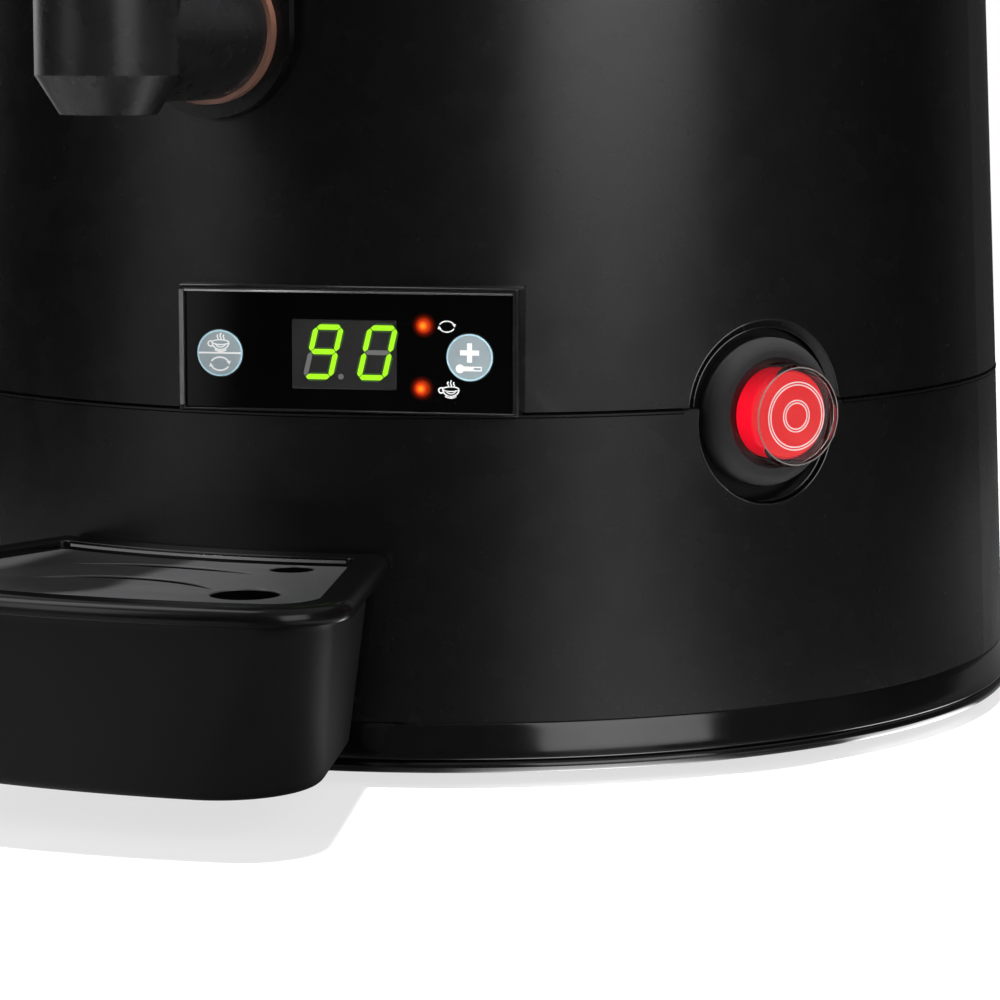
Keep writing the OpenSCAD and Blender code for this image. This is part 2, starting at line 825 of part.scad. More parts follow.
module switch_cap() color("#f0d8d8", 0.4) on_switch() rotate_extrude() polygon(concat(
    [[cap_d / 2 - cap_t, cap_back], [cap_d / 2, cap_back]],
    arc([cap_d / 2 - cap_round, cap_front - cap_round], cap_round, 0, 90, 6),
    [[0, cap_front], [0, cap_front - cap_t], [cap_d / 2 - cap_t - button_edge, cap_front - cap_t],
    [cap_d / 2 - cap_t, cap_front - cap_t - button_edge]]));

// Outline of the tray drawn in by an inset: front arc, corners and back arc, with the share of back lip
function fan(d, growth = 0) =
    let (fr = max(front_round - d, least_round) + growth, br = max(back_round - d, least_round),
        rf = tray_r - d - fr, rb = tray_back + d + br,
        af = tray_half - asin((d + fr) / rf), ab = tray_half - asin((d + br) / rb))
    concat(
        [for (i = [0 : sweep_steps]) let (a = -af + 2 * af * i / sweep_steps) fan_point(tray_r - d, a, 0)],
        [for (i = [1 : arc_steps]) fan_corner(rf, af, fr, af + (90 + tray_half - af) * i / arc_steps, 0)],
        [for (i = [0 : arc_steps]) let (t = i / arc_steps)
            fan_corner(rb, ab, br, 90 + tray_half + (90 + ab - tray_half) * t, t * t * (3 - 2 * t))],
        [for (i = [1 : sweep_steps - 1]) let (a = ab - 2 * ab * i / sweep_steps)
            fan_point(tray_back + d, a, 1)],
        [for (i = [0 : arc_steps]) let (t = 1 - i / arc_steps)
            fan_corner(rb, -ab, br, -90 - tray_half - (90 + ab - tray_half) * t, t * t * (3 - 2 * t))],
        [for (i = [0 : arc_steps - 1]) fan_corner(rf, -af, fr, -af - (90 + tray_half - af)
            * (1 - i / arc_steps), 0)]);
// A point at a radius and a direction from the front, and the share of the back lip there
function fan_point(r, a, share) = [r * sin(a), -r * cos(a), share];
// A point on a corner arc about a centre at radius r and direction a, towards direction b
function fan_corner(r, a, round, b, share) =
    [r * sin(a) + round * sin(b), -r * cos(a) - round * cos(b), share];
// A ring of the tray's skin at an inset and a height, with the back lip lifted by a factor and rounder
// front corners by a growth
function fan_ring(d, z, lift, growth = 0) =
    [for (p = fan(d, growth)) [p[0], p[1], z + lift * back_lip * p[2]]];

// A closed skin through rings of equal length, capped at both ends
module skin(rings) {
    n = len(rings[0]);
    m = len(rings);
    polyhedron(
        points = [for (r = rings, p = r) p],
        faces = concat(
            [[for (i = [0 : n - 1]) i]],
            [for (k = [0 : m - 2], i = [0 : n - 1]) let (j = (i + 1) % n)
                [k * n + i, (k + 1) * n + i, (k + 1) * n + j]],
            [for (k = [0 : m - 2], i = [0 : n - 1]) let (j = (i + 1) % n)
                [k * n + i, (k + 1) * n + j, k * n + j]],
            [[for (i = [n - 1 : -1 : 0]) (m - 1) * n + i]]));
}

module drip_tray() color("#0a0a0b") union() {
    foot = wall_inset + wall_lean;
    turns = [for (i = [0 : edge_steps]) 90 * i / edge_steps];
    skin(concat(
        [for (a = turns) fan_ring(foot + foot_round * (1 - sin(a)), tray_z + foot_round * (1 - cos(a)), 0,
            foot_growth)],
        [fan_ring(wall_inset, rim_z - rim_t, 0)],
        [for (a = turns)
            fan_ring(rim_low_edge * (1 - sin(a)), rim_z - rim_t + rim_low_edge * (1 - cos(a)), 0)],
        [for (a = turns) fan_ring(rim_edge * (1 - cos(a)), rim_z - rim_edge * (1 - sin(a)), 1)],
        [fan_ring(back_lip_crest, rim_z, back_lip_slope),
        fan_ring(back_lip_w, rim_z, 0),
        fan_ring(rim_w - rim_inner_edge, rim_z, 0),
        fan_ring(rim_w, rim_z - rim_inner_edge, 0),
        fan_ring(rim_w, ledge_z, 0),
        fan_ring(rim_w + ledge_w, ledge_z, 0),
        fan_ring(rim_w + wall_lean, tray_floor + floor_round, 0, foot_growth),
        fan_ring(rim_w + wall_lean + floor_round, tray_floor, 0, foot_growth)]));
    tongues(0);
}

// A curved slot between two circles that meet at its tips
module crescent(r, tip) {
    edge = r + slot_w / 2;
    shift = slot_w * (2 * edge - slot_w) / (2 * edge * (1 - cos(tip)) - 2 * slot_w);
    translate([0, -slot_centre]) difference() {
        circle(r = edge);
        translate([0, -shift]) circle(r = edge - slot_w + shift);
    }
}

module tray_grid() color("#0c0c0d") translate([0, 0, grid_top - grid_t]) linear_extrude(grid_t) difference() {
    polygon([for (p = fan(rim_w + seat_gap)) [p[0], p[1]]]);
    crescent(slot_in_r, slot_in_tip);
    crescent(slot_out_r, slot_out_tip);
    rotate(hole_az) {
        translate([0, -hole_front_r]) circle(d = hole_front_d);
        translate([0, -hole_back_r]) circle(d = hole_back_d);
    }
}

// Deck and drive
module deck_plate() color("#9a9da1") difference() {
    translate([0, 0, deck_z]) cylinder(r = deck_r, h = deck_t);
    translate([0, 0, deck_z - cut]) {
        cylinder(r = shaft_r + bush_wall + fit_gap, h = deck_t + 2 * cut);
        ring_of(deck_screw_r, lug_at) cylinder(r = screw_r + screw_room, h = deck_t + 2 * cut);
        for (s = [-1, 1]) translate([s * wire_hole_x, wire_hole_y, 0])
            cylinder(r = wire_hole_r, h = deck_t + 2 * cut);
    }
}

module deck_screws() color("silver") ring_of(deck_screw_r, lug_at) union() {
    translate([0, 0, deck_z + deck_t]) cylinder(r = screw_head_r, h = screw_head_h);
    translate([0, 0, deck_z - lug_h + cut]) cylinder(r = screw_r, h = lug_h + deck_t - cut + eps);
}

// Outline of the gear case, grown by a margin
module case_outline(room) {
    circle(r = gear_r + gear_module + case_gap + room);
    translate([0, gear_span]) circle(r = pinion_r + gear_module + case_gap + room);
}

module gear_case() color("#3a3d40") difference() {
    translate([0, 0, case_z]) linear_extrude(case_top - case_z) case_outline(case_t);
    translate([0, 0, case_z + case_t]) linear_extrude(case_top) case_outline(0);
    translate([0, 0, case_z - cut]) {
        cylinder(r = shaft_r + low_bush_wall + fit_gap, h = case_t + 2 * cut);
        translate([0, gear_span, 0]) cylinder(r = pinion_shaft_r + pinion_shaft_room, h = case_t + 2 * cut);
    }
}

module gear_cover() color("#4a4d50") translate([0, 0, case_top]) difference() {
    linear_extrude(cover_plate_t) case_outline(case_t);
    translate([0, 0, -cut]) cylinder(r = shaft_r + bush_wall + fit_gap, h = cover_plate_t + 2 * cut);
}

module shaft_bushes() color("#b08d4a") union() {
    tube(shaft_r + bush_wall, shaft_r + run_gap, case_top, deck_z + deck_t + bush_rise);
    tube(shaft_r + bush_wall + bush_flange, shaft_r + run_gap, deck_z + deck_t,
        deck_z + deck_t + bush_flange_t);
    tube(shaft_r + low_bush_wall, shaft_r + run_gap, case_z - low_bush_drop, case_z + case_t);
}

module drive_shaft() color("#c4c6c8") union() {
    translate([0, 0, shaft_bottom]) cylinder(r = shaft_r, h = shoulder_z - shaft_bottom);
    translate([0, 0, shoulder_z - eps]) cylinder(r = hex_r, h = hex_h + eps, $fn = 6);
}

// Outline of a spur gear with straight flanks, its first tooth along x
function tooth(root, pr, tip) =
    [[root, -0.36], [pr, -0.225], [tip, -0.09], [tip, 0.09], [pr, 0.225], [root, 0.36]];
module gear_outline(teeth) {
    pr = gear_module * teeth / 2;
    polygon([for (i = [0 : teeth - 1], q = tooth(pr - 1.25 * gear_module, pr, pr + gear_module))
        let (a = (i + q[1]) * 360 / teeth) [q[0] * cos(a), q[0] * sin(a)]]);
}

module drive_gear() color("#d9d4c4") difference() {
    translate([0, 0, gear_z]) union() {
        linear_extrude(gear_t) rotate(90) gear_outline(gear_teeth);
        cylinder(r = shaft_r + gear_hub, h = gear_t + gear_hub_rise);
    }
    translate([0, 0, gear_z - cut]) cylinder(r = shaft_r, h = gear_t + gear_hub_rise + 2 * cut);
    for (i = [0 : web_holes - 1]) rotate([0, 0, 360 * i / web_holes])
        translate([web_hole_ring, 0, gear_z - cut]) cylinder(r = web_hole_r, h = gear_t + 2 * cut);
}

module motor_pinion() color("#c4c6c8") translate([0, gear_span, 0]) union() {
    translate([0, 0, gear_z]) linear_extrude(gear_t) rotate(270 - 180 / pinion_teeth)
        gear_outline(pinion_teeth);
    translate([0, 0, case_z - pinion_shaft_in])
        cylinder(r = pinion_shaft_r, h = gear_z + gear_t + gear_hub_rise - case_z + pinion_shaft_in);
}

module motor() color("#8d9094") translate([0, gear_span, 0]) difference() {
    union() {
        translate([0, 0, case_z - motor_h]) cylinder(r = motor_r, h = motor_h);
        translate([0, 0, case_z - motor_h - motor_nose_h]) cylinder(r = motor_nose_r, h = motor_nose_h + eps);
        translate([0, 0, case_z - motor_h + motor_band_z])
            cylinder(r = motor_r + motor_band, h = motor_band_h);
    }
    translate([0, 0, case_z - pinion_shaft_in - cut]) cylinder(r = pinion_shaft_r + run_gap, h = through);
}

// Heating
module heating_plate() color("#b9bcbf")
    tube(plate_r, plate_hole, plate_bottom, plate_z);

module heater_element() color("#55575a") union() {
    translate([0, 0, plate_bottom - heater_tube]) rotate_extrude() translate([heater_r, 0])
        circle(r = heater_tube);
    ring_of(heater_r, heater_legs_at) translate([0, 0, deck_z + deck_t + heater_leg_gap])
        cylinder(r = heater_leg_r, h = plate_bottom - heater_tube - deck_z - deck_t - heater_leg_gap);
}

module plate_posts() color("#d8d6cf") ring_of(post_ring, posts_at)
    translate([0, 0, deck_z + deck_t]) cylinder(r = post_r, h = plate_bottom - deck_z - deck_t);

module temp_probe() color("#a8aaad") translate([probe_x, 0, plate_bottom]) union() {
    bar(probe_w, probe_d, -probe_h, 0);
    translate([0, 0, -probe_h / 2]) rotate([90, 0, 0])
        cylinder(r = probe_tube_r, h = probe_tube_l, center = true);
}

module thermal_cutout() color("#7d5a32") translate([-probe_x, 0, plate_bottom - cutout_h]) union() {
    cylinder(r = cutout_r, h = cutout_h);
    for (s = [-1, 1]) translate([s * cutout_pin, 0, 0]) bar(terminal_t, terminal_w, -terminal_l, eps);
}

// Bowl with its chimney for the shaft and a hole for the outlet pipe
module bowl() color("#dfe6ea", 0.35) difference() {
    corner_r = bowl_out(bowl_z + bowl_round) - bowl_round;
    bead_r = bowl_out(bowl_top) + rim_bead;
    rotate_extrude() polygon(concat(
        [[chimney_in, bowl_z], [bowl_r - bowl_round, bowl_z]],
        arc([corner_r, bowl_z + bowl_round], bowl_round, -80, 0, 6),
        [[bowl_out(bowl_top - rim_bead_h), bowl_top - rim_bead_h],
        [bead_r, bowl_top - rim_bead_h + rim_bead / 3],
        [bead_r, bowl_top], [bowl_out(bowl_top) - bowl_wall, bowl_top]],
        arc([corner_r, bowl_z + bowl_round + bowl_floor - bowl_wall], bowl_round - bowl_wall, 0, -90, 6),
        [[chimney_out, bowl_z + bowl_floor], [chimney_out, chimney_top], [seal_r, chimney_top],
        [seal_r, chimney_top - seal_t], [chimney_in, chimney_top - seal_t]]));
    facing(0, pipe_z) translate([0, 0, pipe_root - through / 2]) cylinder(r = pipe_bore, h = through);
    facing(0, pipe_z) translate([0, 0, pipe_root]) cylinder(r = pipe_r, h = through);
}

// Outlet pipe, welded into the wall of the bowl
module outlet_pipe() color("#dfe6ea", 0.35) facing(0, pipe_z) tube(pipe_r, pipe_bore, pipe_root, pipe_end);

module shaft_seal() color("#4a2d24") tube(seal_r, shaft_r + run_gap, chimney_top - seal_t, chimney_top + 1);

module stirrer() color("#e9e7e0") difference() {
    union() {
        rotate_extrude() polygon([[0, hub_z], [hub_out, hub_z], [hub_out - hub_taper, hub_top - hub_round],
            [hub_out - hub_taper - hub_round, hub_top], [0, hub_top]]);
        bar(2 * blade_r, arm_w, hub_z, hub_z + arm_h);
        for (s = [-1, 1]) translate([s * (blade_r - blade_t / 2), 0, 0])
            bar(blade_t, blade_w, hub_z, hub_z + blade_h);
        bar(cross_w, 2 * cross_r, hub_z, hub_z + arm_h);
    }
    translate([0, 0, hub_z - cut]) cylinder(r = hub_in, h = shoulder_z + seat_gap - hub_z + cut);
    translate([0, 0, shoulder_z]) cylinder(r = hex_r + seat_gap, h = hex_h + seat_gap, $fn = 6);
}

// Lid
function lid_curve(r) = lid_z + lid_t + (lid_rise - lid_t) * (1 - pow(r / lid_r, 2));
module lid() color("#0e0e0f") difference() {
    rotate_extrude() polygon(concat(
        [[lid_skirt_r, lid_z], [lid_r, lid_z], [lid_r, lid_z + lid_t - lid_edge]],
        [for (i = [0 : lid_steps]) let (r = (lid_r - lid_edge) * (1 - i / lid_steps)) [r, lid_curve(r)]],
        [for (i = [0 : lid_steps]) let (r = (lid_skirt_r - lid_skirt_t) * i / lid_steps)
            [r, lid_curve(r) - lid_t]],
        [[lid_skirt_r - lid_skirt_t, bowl_top - lid_skirt], [lid_skirt_r, bowl_top - lid_skirt]]));
    translate([0, 0, lid_z]) cylinder(r = knob_screw_r + fit_gap, h = lid_rise + cut);
}

module lid_knob() color("#0e0e0f") difference() {
    rotate_extrude() polygon(concat(
        [[0, lid_crown], [knob_stem_r + knob_foot, lid_crown], [knob_stem_r, lid_crown + knob_foot_h],
        [knob_stem_r, knob_top - knob_head_h]],
        arc([knob_r - knob_round, knob_top - 1.5 * knob_round], knob_round, -40, 70, 8),
        [[knob_flat_r, knob_top], [0, knob_top]]));
    translate([0, 0, lid_crown - cut]) cylinder(r = knob_screw_r, h = knob_screw_l + 2 * cut);
}

module knob_screw() color("silver") union() {
    translate([0, 0, lid_crown - lid_t - fit_gap - knob_screw_head_h])
        cylinder(r = knob_screw_head_r, h = knob_screw_head_h);
    translate([0, 0, lid_crown - lid_t - fit_gap - eps]) cylinder(r = knob_screw_r, h = lid_t + knob_screw_l);
}

// Outlet and tap
module notch_cover() color("#0e0e0f") facing(0, pipe_z) difference() {
    translate([0, 0, cover_y]) linear_extrude(cover_t) union() {
        circle(r = cover_r);
        translate([-cover_r, 0]) square([2 * cover_r, drum_top - pipe_z - cover_drop]);
    }
    translate([0, 0, cover_y - cut]) cylinder(r = pipe_r, h = cover_t + 2 * cut);
}

module pipe_gasket() color("#4a2d24") facing(0, pipe_z)
    tube(barrel_r + 1, pipe_r, cover_y + cover_t, neck_y);

module tap_body() color("#111112") difference() {
    union() {
        facing(0, pipe_z) translate([0, 0, neck_y]) cylinder(r = barrel_r, h = tap_dist - neck_y);
        translate([0, -tap_dist, 0]) rotate_extrude() polygon([[0, nozzle_z], [nozzle_r, nozzle_z],
            [barrel_r, seat_z + nozzle_flare], [barrel_r, bonnet_z], [0, bonnet_z]]);
    }
    facing(0, pipe_z) {
        translate([0, 0, neck_y - cut]) cylinder(r = pipe_r, h = pipe_end - neck_y + cut);
        translate([0, 0, neck_y]) cylinder(r = pipe_bore, h = tap_dist - neck_y);
    }
    translate([0, -tap_dist, seat_z]) cylinder(r = barrel_bore, h = bonnet_z);
    translate([0, -tap_dist, nozzle_z - cut]) cylinder(r = nozzle_bore, h = through / 2);
}

// A flat shape in the side view, spread along x from one distance to another
module across(from, to) translate([from, 0, 0]) rotate([90, 0, 90]) linear_extrude(to - from) children();

module ear() difference() {
    union() {
        translate([-hinge_y, pin_z]) circle(r = ear_half);
        polygon([[-tap_dist + ear_root_back, bonnet_z + bonnet_t - cut],
            [-tap_dist + ear_root_back, bonnet_z + bonnet_t], [-hinge_y + ear_half, pin_z],
            [-hinge_y - ear_half, pin_z], [-hinge_y - ear_half, pin_z - ear_half],
            [-tap_dist - ear_root_front, bonnet_z + bonnet_t - cut]]);
    }
    translate([-hinge_y, pin_z]) circle(r = pin_r);
}

module tap_bonnet() color("#111112") difference() {
    union() {
        translate([0, -tap_dist, bonnet_z - bonnet_plug]) cylinder(r = barrel_bore, h = bonnet_plug + cut);
        translate([0, -tap_dist, bonnet_z]) cylinder(r = barrel_r, h = bonnet_t);
        across(ear_in, ear_out) ear();
        across(-ear_out, -ear_in) ear();
    }
    translate([0, -tap_dist, bonnet_z - bonnet_plug - cut]) cylinder(r = rod_r + run_gap, h = through / 2);
}

module tap_piston() color("#d8d6cf") union() {
    translate([0, -tap_dist, piston_z]) cylinder(r = barrel_bore - run_gap, h = piston_h);
    translate([0, -tap_dist, piston_z]) cylinder(r = rod_r, h = pin_z + rod_rise - piston_z);
    translate([0, -tap_dist, pin_z]) rotate([0, 90, 0])
        cylinder(r = pin_r, h = 2 * (fork_out + clear), center = true);
}

module piston_seal() color("#4a2d24") translate([0, -tap_dist, 0])
    tube(barrel_bore - clear, nozzle_bore + clear, seat_z + seat_gap, piston_z);

spring_low = piston_z + piston_h + seat_gap + spring_wire;
spring_high = bonnet_z - bonnet_plug - seat_gap - spring_wire;
spring_steps = spring_turns * spring_rings;
function spring_at(i) = [spring_r * cos(360 * i / spring_rings), spring_r * sin(360 * i / spring_rings),
    spring_low + (spring_high - spring_low) * i / spring_steps];
spring_gap = min([for (i = [0 : spring_steps - spring_rings])
    norm(spring_at(i + spring_rings) - spring_at(i))]) - 2 * spring_wire;
echo(spring_gap = spring_gap);

module tap_spring() color("silver") translate([0, -tap_dist, 0]) skin([for (i = [0 : spring_steps])
    let (a = 360 * i / spring_rings, c = spring_at(i))
    [for (k = [0 : spring_sides - 1]) let (b = 360 * k / spring_sides)
        c + spring_wire * [cos(b) * cos(a), cos(b) * sin(a), -sin(b)]]]);

// Side view of one fork arm of the lever, its pin at the origin
module fork_arm() difference() {
    translate([-lever_front, -fork_h]) square([lever_front + lever_arm + lever_reach, 2 * fork_h]);
    translate([lever_arm - slot_room, -fork_gap]) square([through, 2 * fork_gap]);
    circle(r = pin_r + run_gap);
}

module tap_lever() color("#0e0e0f") translate([0, -hinge_y, pin_z]) union() {
    across(fork_in, fork_out) fork_arm();
    across(-fork_out, -fork_in) fork_arm();
    across(-fork_out, fork_out) difference() {
        polygon([[-lever_front, -fork_h], [lever_back, -fork_h], [lever_back, fork_h], [0, handle_root],
            [-handle_lean, handle_l], [-handle_lean - handle_t, handle_l], [-lever_front, handle_root - 2]]);
        circle(r = pin_r + run_gap);
    }
    across(-paddle_half, paddle_half) polygon([[-handle_lean / 2, paddle_z],
        [-handle_lean - paddle_edge / 4, handle_l - paddle_edge], [-handle_lean - paddle_edge, handle_l],
        [-handle_lean - handle_t, handle_l],
        [-handle_lean - handle_t - paddle_edge / 2, handle_l - paddle_edge],
        [-handle_lean / 2 - handle_t, paddle_z]]);
}

module lever_pin() color("silver") translate([0, -hinge_y, pin_z]) rotate([0, 90, 0])
    cylinder(r = pin_r, h = 2 * (ear_out + clear), center = true);

// Cord entry and power board
module cable_gland() color("#161617") facing(180, gland_z) difference() {
    union() {
        translate([0, 0, gland_y]) cylinder(r = gland_head_r, h = gland_head_t);
        translate([0, 0, gland_y - gland_l]) cylinder(r = gland_thread_r, h = gland_l + eps);
    }
    translate([0, 0, gland_y - gland_l - cut]) cylinder(r = gland_bore, h = through);
}

module gland_nut() color("#161617") facing(180, gland_z) difference() {
    translate([0, 0, shell_r(gland_z) - wall - gland_nut_gap - gland_nut_t])
        cylinder(r = gland_head_r, h = gland_nut_t, $fn = 6);
    translate([0, 0, gland_y - through / 2]) cylinder(r = gland_thread_r, h = through);
}

module board_posts() color("#d8d6cf") for (x = [-1, 1], y = [-1, 1])
    translate([board_x + x * (board_w / 2 - board_post_in), board_y + y * (board_d / 2 - board_post_in),
        base_z + base_t])
        cylinder(r = board_post_r, h = board_z - base_z - base_t);

module power_board() color("#1f5a34") translate([board_x, board_y, board_z]) union() {
    bar(board_w, board_d, 0, board_t);
    translate([0, coil_y, 0]) bar(coil_w, coil_d, board_t - eps, coil_h);
    translate([capacitor_x, part_y, board_t - eps]) cylinder(r = capacitor_r, h = capacitor_h - board_t);
    translate([relay_x, part_y, 0]) bar(relay_w, relay_d, board_t - eps, relay_h);
    for (x = blocks_x) translate([x, block_y, 0]) bar(block_w, block_d, board_t - eps, block_h);
}

module on_axis() translate([0, axis_y, 0]) children();

on_axis() base_plate();
on_axis() rubber_feet();
on_axis() foot_ring();
on_axis() lower_shell();
on_axis() upper_shell();
on_axis() collar_seal();
on_axis() panel_frame();
on_axis() panel_face();
on_axis() display_module();
on_axis() indicator_lamps();
on_axis() mode_key();
on_axis() temp_key();
on_axis() control_board();
on_axis() key_switches();
on_axis() switch_ring();
on_axis() switch_button();
on_axis() switch_cap();
on_axis() switch_body();
on_axis() switch_nut();
on_axis() drip_tray();
on_axis() tray_grid();
on_axis() deck_plate();
on_axis() deck_screws();
on_axis() gear_case();
on_axis() gear_cover();
on_axis() shaft_bushes();
on_axis() drive_shaft();
on_axis() drive_gear();
on_axis() motor_pinion();
on_axis() motor();
on_axis() heating_plate();
on_axis() heater_element();
on_axis() plate_posts();
on_axis() temp_probe();
on_axis() thermal_cutout();
on_axis() bowl();
on_axis() outlet_pipe();
on_axis() shaft_seal();
on_axis() stirrer();
on_axis() lid();
on_axis() lid_knob();
on_axis() knob_screw();
on_axis() notch_cover();
on_axis() pipe_gasket();
on_axis() tap_body();
on_axis() tap_bonnet();
on_axis() tap_piston();
on_axis() piston_seal();
on_axis() tap_spring();
on_axis() tap_lever();
on_axis() lever_pin();
on_axis() cable_gland();
on_axis() gland_nut();
on_axis() power_board();
on_axis() board_posts();
on_axis() base_screws();
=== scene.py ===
"""Hot chocolate dispenser: finishes, panel graphics, rounded visual pieces, studio and camera."""

import math

import bpy
from mathutils import Matrix, Vector
from mathutils.geometry import tessellate_polygon


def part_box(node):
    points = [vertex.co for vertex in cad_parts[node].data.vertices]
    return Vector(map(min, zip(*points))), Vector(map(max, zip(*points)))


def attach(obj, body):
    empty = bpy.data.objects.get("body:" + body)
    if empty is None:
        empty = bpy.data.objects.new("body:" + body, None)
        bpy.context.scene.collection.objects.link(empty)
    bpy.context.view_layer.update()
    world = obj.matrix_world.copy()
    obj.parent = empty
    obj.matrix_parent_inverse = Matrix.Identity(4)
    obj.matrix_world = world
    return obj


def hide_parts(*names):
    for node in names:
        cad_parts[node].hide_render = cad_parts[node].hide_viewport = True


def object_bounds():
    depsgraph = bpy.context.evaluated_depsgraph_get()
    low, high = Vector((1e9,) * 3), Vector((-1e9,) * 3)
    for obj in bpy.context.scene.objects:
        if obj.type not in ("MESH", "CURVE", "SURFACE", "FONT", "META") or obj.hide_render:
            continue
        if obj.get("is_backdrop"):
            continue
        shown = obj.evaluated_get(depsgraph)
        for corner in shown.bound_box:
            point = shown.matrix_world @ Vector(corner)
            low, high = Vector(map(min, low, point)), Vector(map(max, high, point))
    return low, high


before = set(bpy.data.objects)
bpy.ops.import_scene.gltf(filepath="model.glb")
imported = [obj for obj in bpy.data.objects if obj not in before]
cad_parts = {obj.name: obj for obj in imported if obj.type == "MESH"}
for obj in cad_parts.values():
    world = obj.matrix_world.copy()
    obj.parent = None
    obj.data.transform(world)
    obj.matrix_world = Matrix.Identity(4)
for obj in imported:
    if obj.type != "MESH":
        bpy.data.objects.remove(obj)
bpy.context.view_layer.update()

# Lengths are in mm until a mesh is made
MM = 0.001
RING_LOW, RING_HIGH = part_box("foot_ring")
AXIS = Vector((0, (RING_LOW.y + RING_HIGH.y) / 2 / MM, 0))
SEAM_Z = 81.5
SEAM_R = 135.584
DRAFT = math.radians(2.4)
PANEL_AZ = 11
PANEL_SHIFT = 4.5
PANEL_DIST = SEAM_R - 1
PANEL_W = 75.8
PANEL_H = 27.8
SWITCH_AZ = 53.7
SWITCH_Z = 80
UP = Vector((0, 0, 1))


def shell_r(z):
    """Outer radius of the drum wall at a height."""
    return SEAM_R + (SEAM_Z - z) * math.tan(DRAFT)


def facing(azimuth, z):
    """A frame on the drum's axis whose third direction points outwards at an azimuth from the front."""
    a = math.radians(azimuth)
    right = Vector((math.cos(a), math.sin(a), 0))
    out = Vector((math.sin(a), -math.cos(a), 0))
    turn = Matrix((right, UP, out)).transposed().to_4x4()
    return Matrix.Translation(AXIS + UP * z) @ turn


ON_AXIS = Matrix.Translation(AXIS)
ON_PANEL = facing(PANEL_AZ, SEAM_Z) @ Matrix.Translation((PANEL_SHIFT, 0, PANEL_DIST))
ON_SWITCH = facing(SWITCH_AZ, SWITCH_Z)


# Finishes
NOISE_DETAIL = 3.0
GRAIN_DEPTH = 0.0002
LEAST_ROUGH = 0.01
FINE_PATCH = 4
FAINT = 0.92
# Sockets of a mix node that carry colours
MIX_FIRST = 6
MIX_SECOND = 7
MIX_RESULT = 2


def noise(tree, scale):
    """A noise texture in the coordinates of the object."""
    place = tree.nodes.new("ShaderNodeTexCoord")
    texture = tree.nodes.new("ShaderNodeTexNoise")
    texture.inputs["Scale"].default_value = scale
    texture.inputs["Detail"].default_value = NOISE_DETAIL
    tree.links.new(place.outputs["Object"], texture.inputs["Vector"])
    return texture.outputs["Fac"]


def spread(tree, value, low, high, start=0.3, end=0.7):
    """A value between start and end mapped to the range low to high."""
    node = tree.nodes.new("ShaderNodeMapRange")
    node.inputs["From Min"].default_value = start
    node.inputs["From Max"].default_value = end
    node.inputs["To Min"].default_value = low
    node.inputs["To Max"].default_value = high
    tree.links.new(value, node.inputs["Value"])
    return node.outputs["Result"]


def blend_colour(tree, value, first, second):
    """A colour between two, chosen by a value from 0 to 1."""
    node = tree.nodes.new("ShaderNodeMix")
    node.data_type = "RGBA"
    node.inputs[MIX_FIRST].default_value = (*first, 1)
    node.inputs[MIX_SECOND].default_value = (*second, 1)
    tree.links.new(value, node.inputs[0])
    return node.outputs[MIX_RESULT]


def finish(name, colour, rough, metal=0.0, grain=0.0, grain_scale=1500.0, patch=30.0, vary=0.12,
           rough_vary=0.05, clear=0.0, ior=1.5, glow=None, glow_strength=0.0):
    """A procedural finish: a broad noise varies colour and roughness, a fine one bumps the surface."""
    material = bpy.data.materials.new(name)
    material.use_nodes = True
    tree = material.node_tree
    shader = tree.nodes["Principled BSDF"]
    broad = noise(tree, patch)
    dark = [c * (1 - vary) for c in colour]
    light = [min(1.0, c * (1 + vary)) for c in colour]
    share = spread(tree, broad, 0, 1)
    tree.links.new(blend_colour(tree, share, dark, light), shader.inputs["Base Color"])
    least = max(LEAST_ROUGH, rough - rough_vary)
    rough_range = spread(tree, noise(tree, patch * FINE_PATCH), least, rough + rough_vary)
    tree.links.new(rough_range, shader.inputs["Roughness"])
    shader.inputs["Metallic"].default_value = metal
    shader.inputs["IOR"].default_value = ior
    shader.inputs["Transmission Weight"].default_value = clear
    if grain:
        bump = tree.nodes.new("ShaderNodeBump")
        bump.inputs["Strength"].default_value = grain
        bump.inputs["Distance"].default_value = GRAIN_DEPTH
        tree.links.new(noise(tree, grain_scale), bump.inputs["Height"])
        tree.links.new(bump.outputs["Normal"], shader.inputs["Normal"])
    if glow:
        faint = [c * FAINT for c in glow]
        tree.links.new(blend_colour(tree, share, faint, glow), shader.inputs["Emission Color"])
        shader.inputs["Emission Strength"].default_value = glow_strength
    return material


BLACK = (0.0012, 0.0012, 0.0013)
SHELL = finish("shell_satin", BLACK, 0.27, grain=0.05, grain_scale=2600, rough_vary=0.02)
BAND = finish("band_gloss", BLACK, 0.13, rough_vary=0.02)
TRIM = finish("panel_trim", (0.004, 0.004, 0.0042), 0.16, ior=1.55, rough_vary=0.03)
BEAD = finish("recess_bead", (0.004, 0.004, 0.0042), 0.18, ior=1.75, rough_vary=0.03)
GLOSS = finish("panel_gloss", (0.0004, 0.0004, 0.0004), 0.1, rough_vary=0.02)
PANE = finish("display_pane", (0.017, 0.0175, 0.017), 0.12, rough_vary=0.03)
LIT = finish("segment_lit", (0.05, 0.12, 0.0), 0.4, glow=(0.38, 1.0, 0.0), glow_strength=1.0)
HALO_GREEN = finish("segment_glow_halo", (0.015, 0.02, 0.012), 0.4, glow=(0.014, 0.05, 0.002), glow_strength=1.0)
UNLIT = finish("segment_unlit", (0.13, 0.13, 0.13), 0.4)
KEY = finish("key_grey", (0.23, 0.28, 0.3), 0.35, grain=0.03)
KEY_EDGE_GLOW = finish("key_edge_glow", (0.32, 0.5, 0.57), 0.4, glow=(0.4, 0.66, 0.8), glow_strength=0.12)
PRINT = finish("print_white", (0.8, 0.8, 0.8), 0.5)
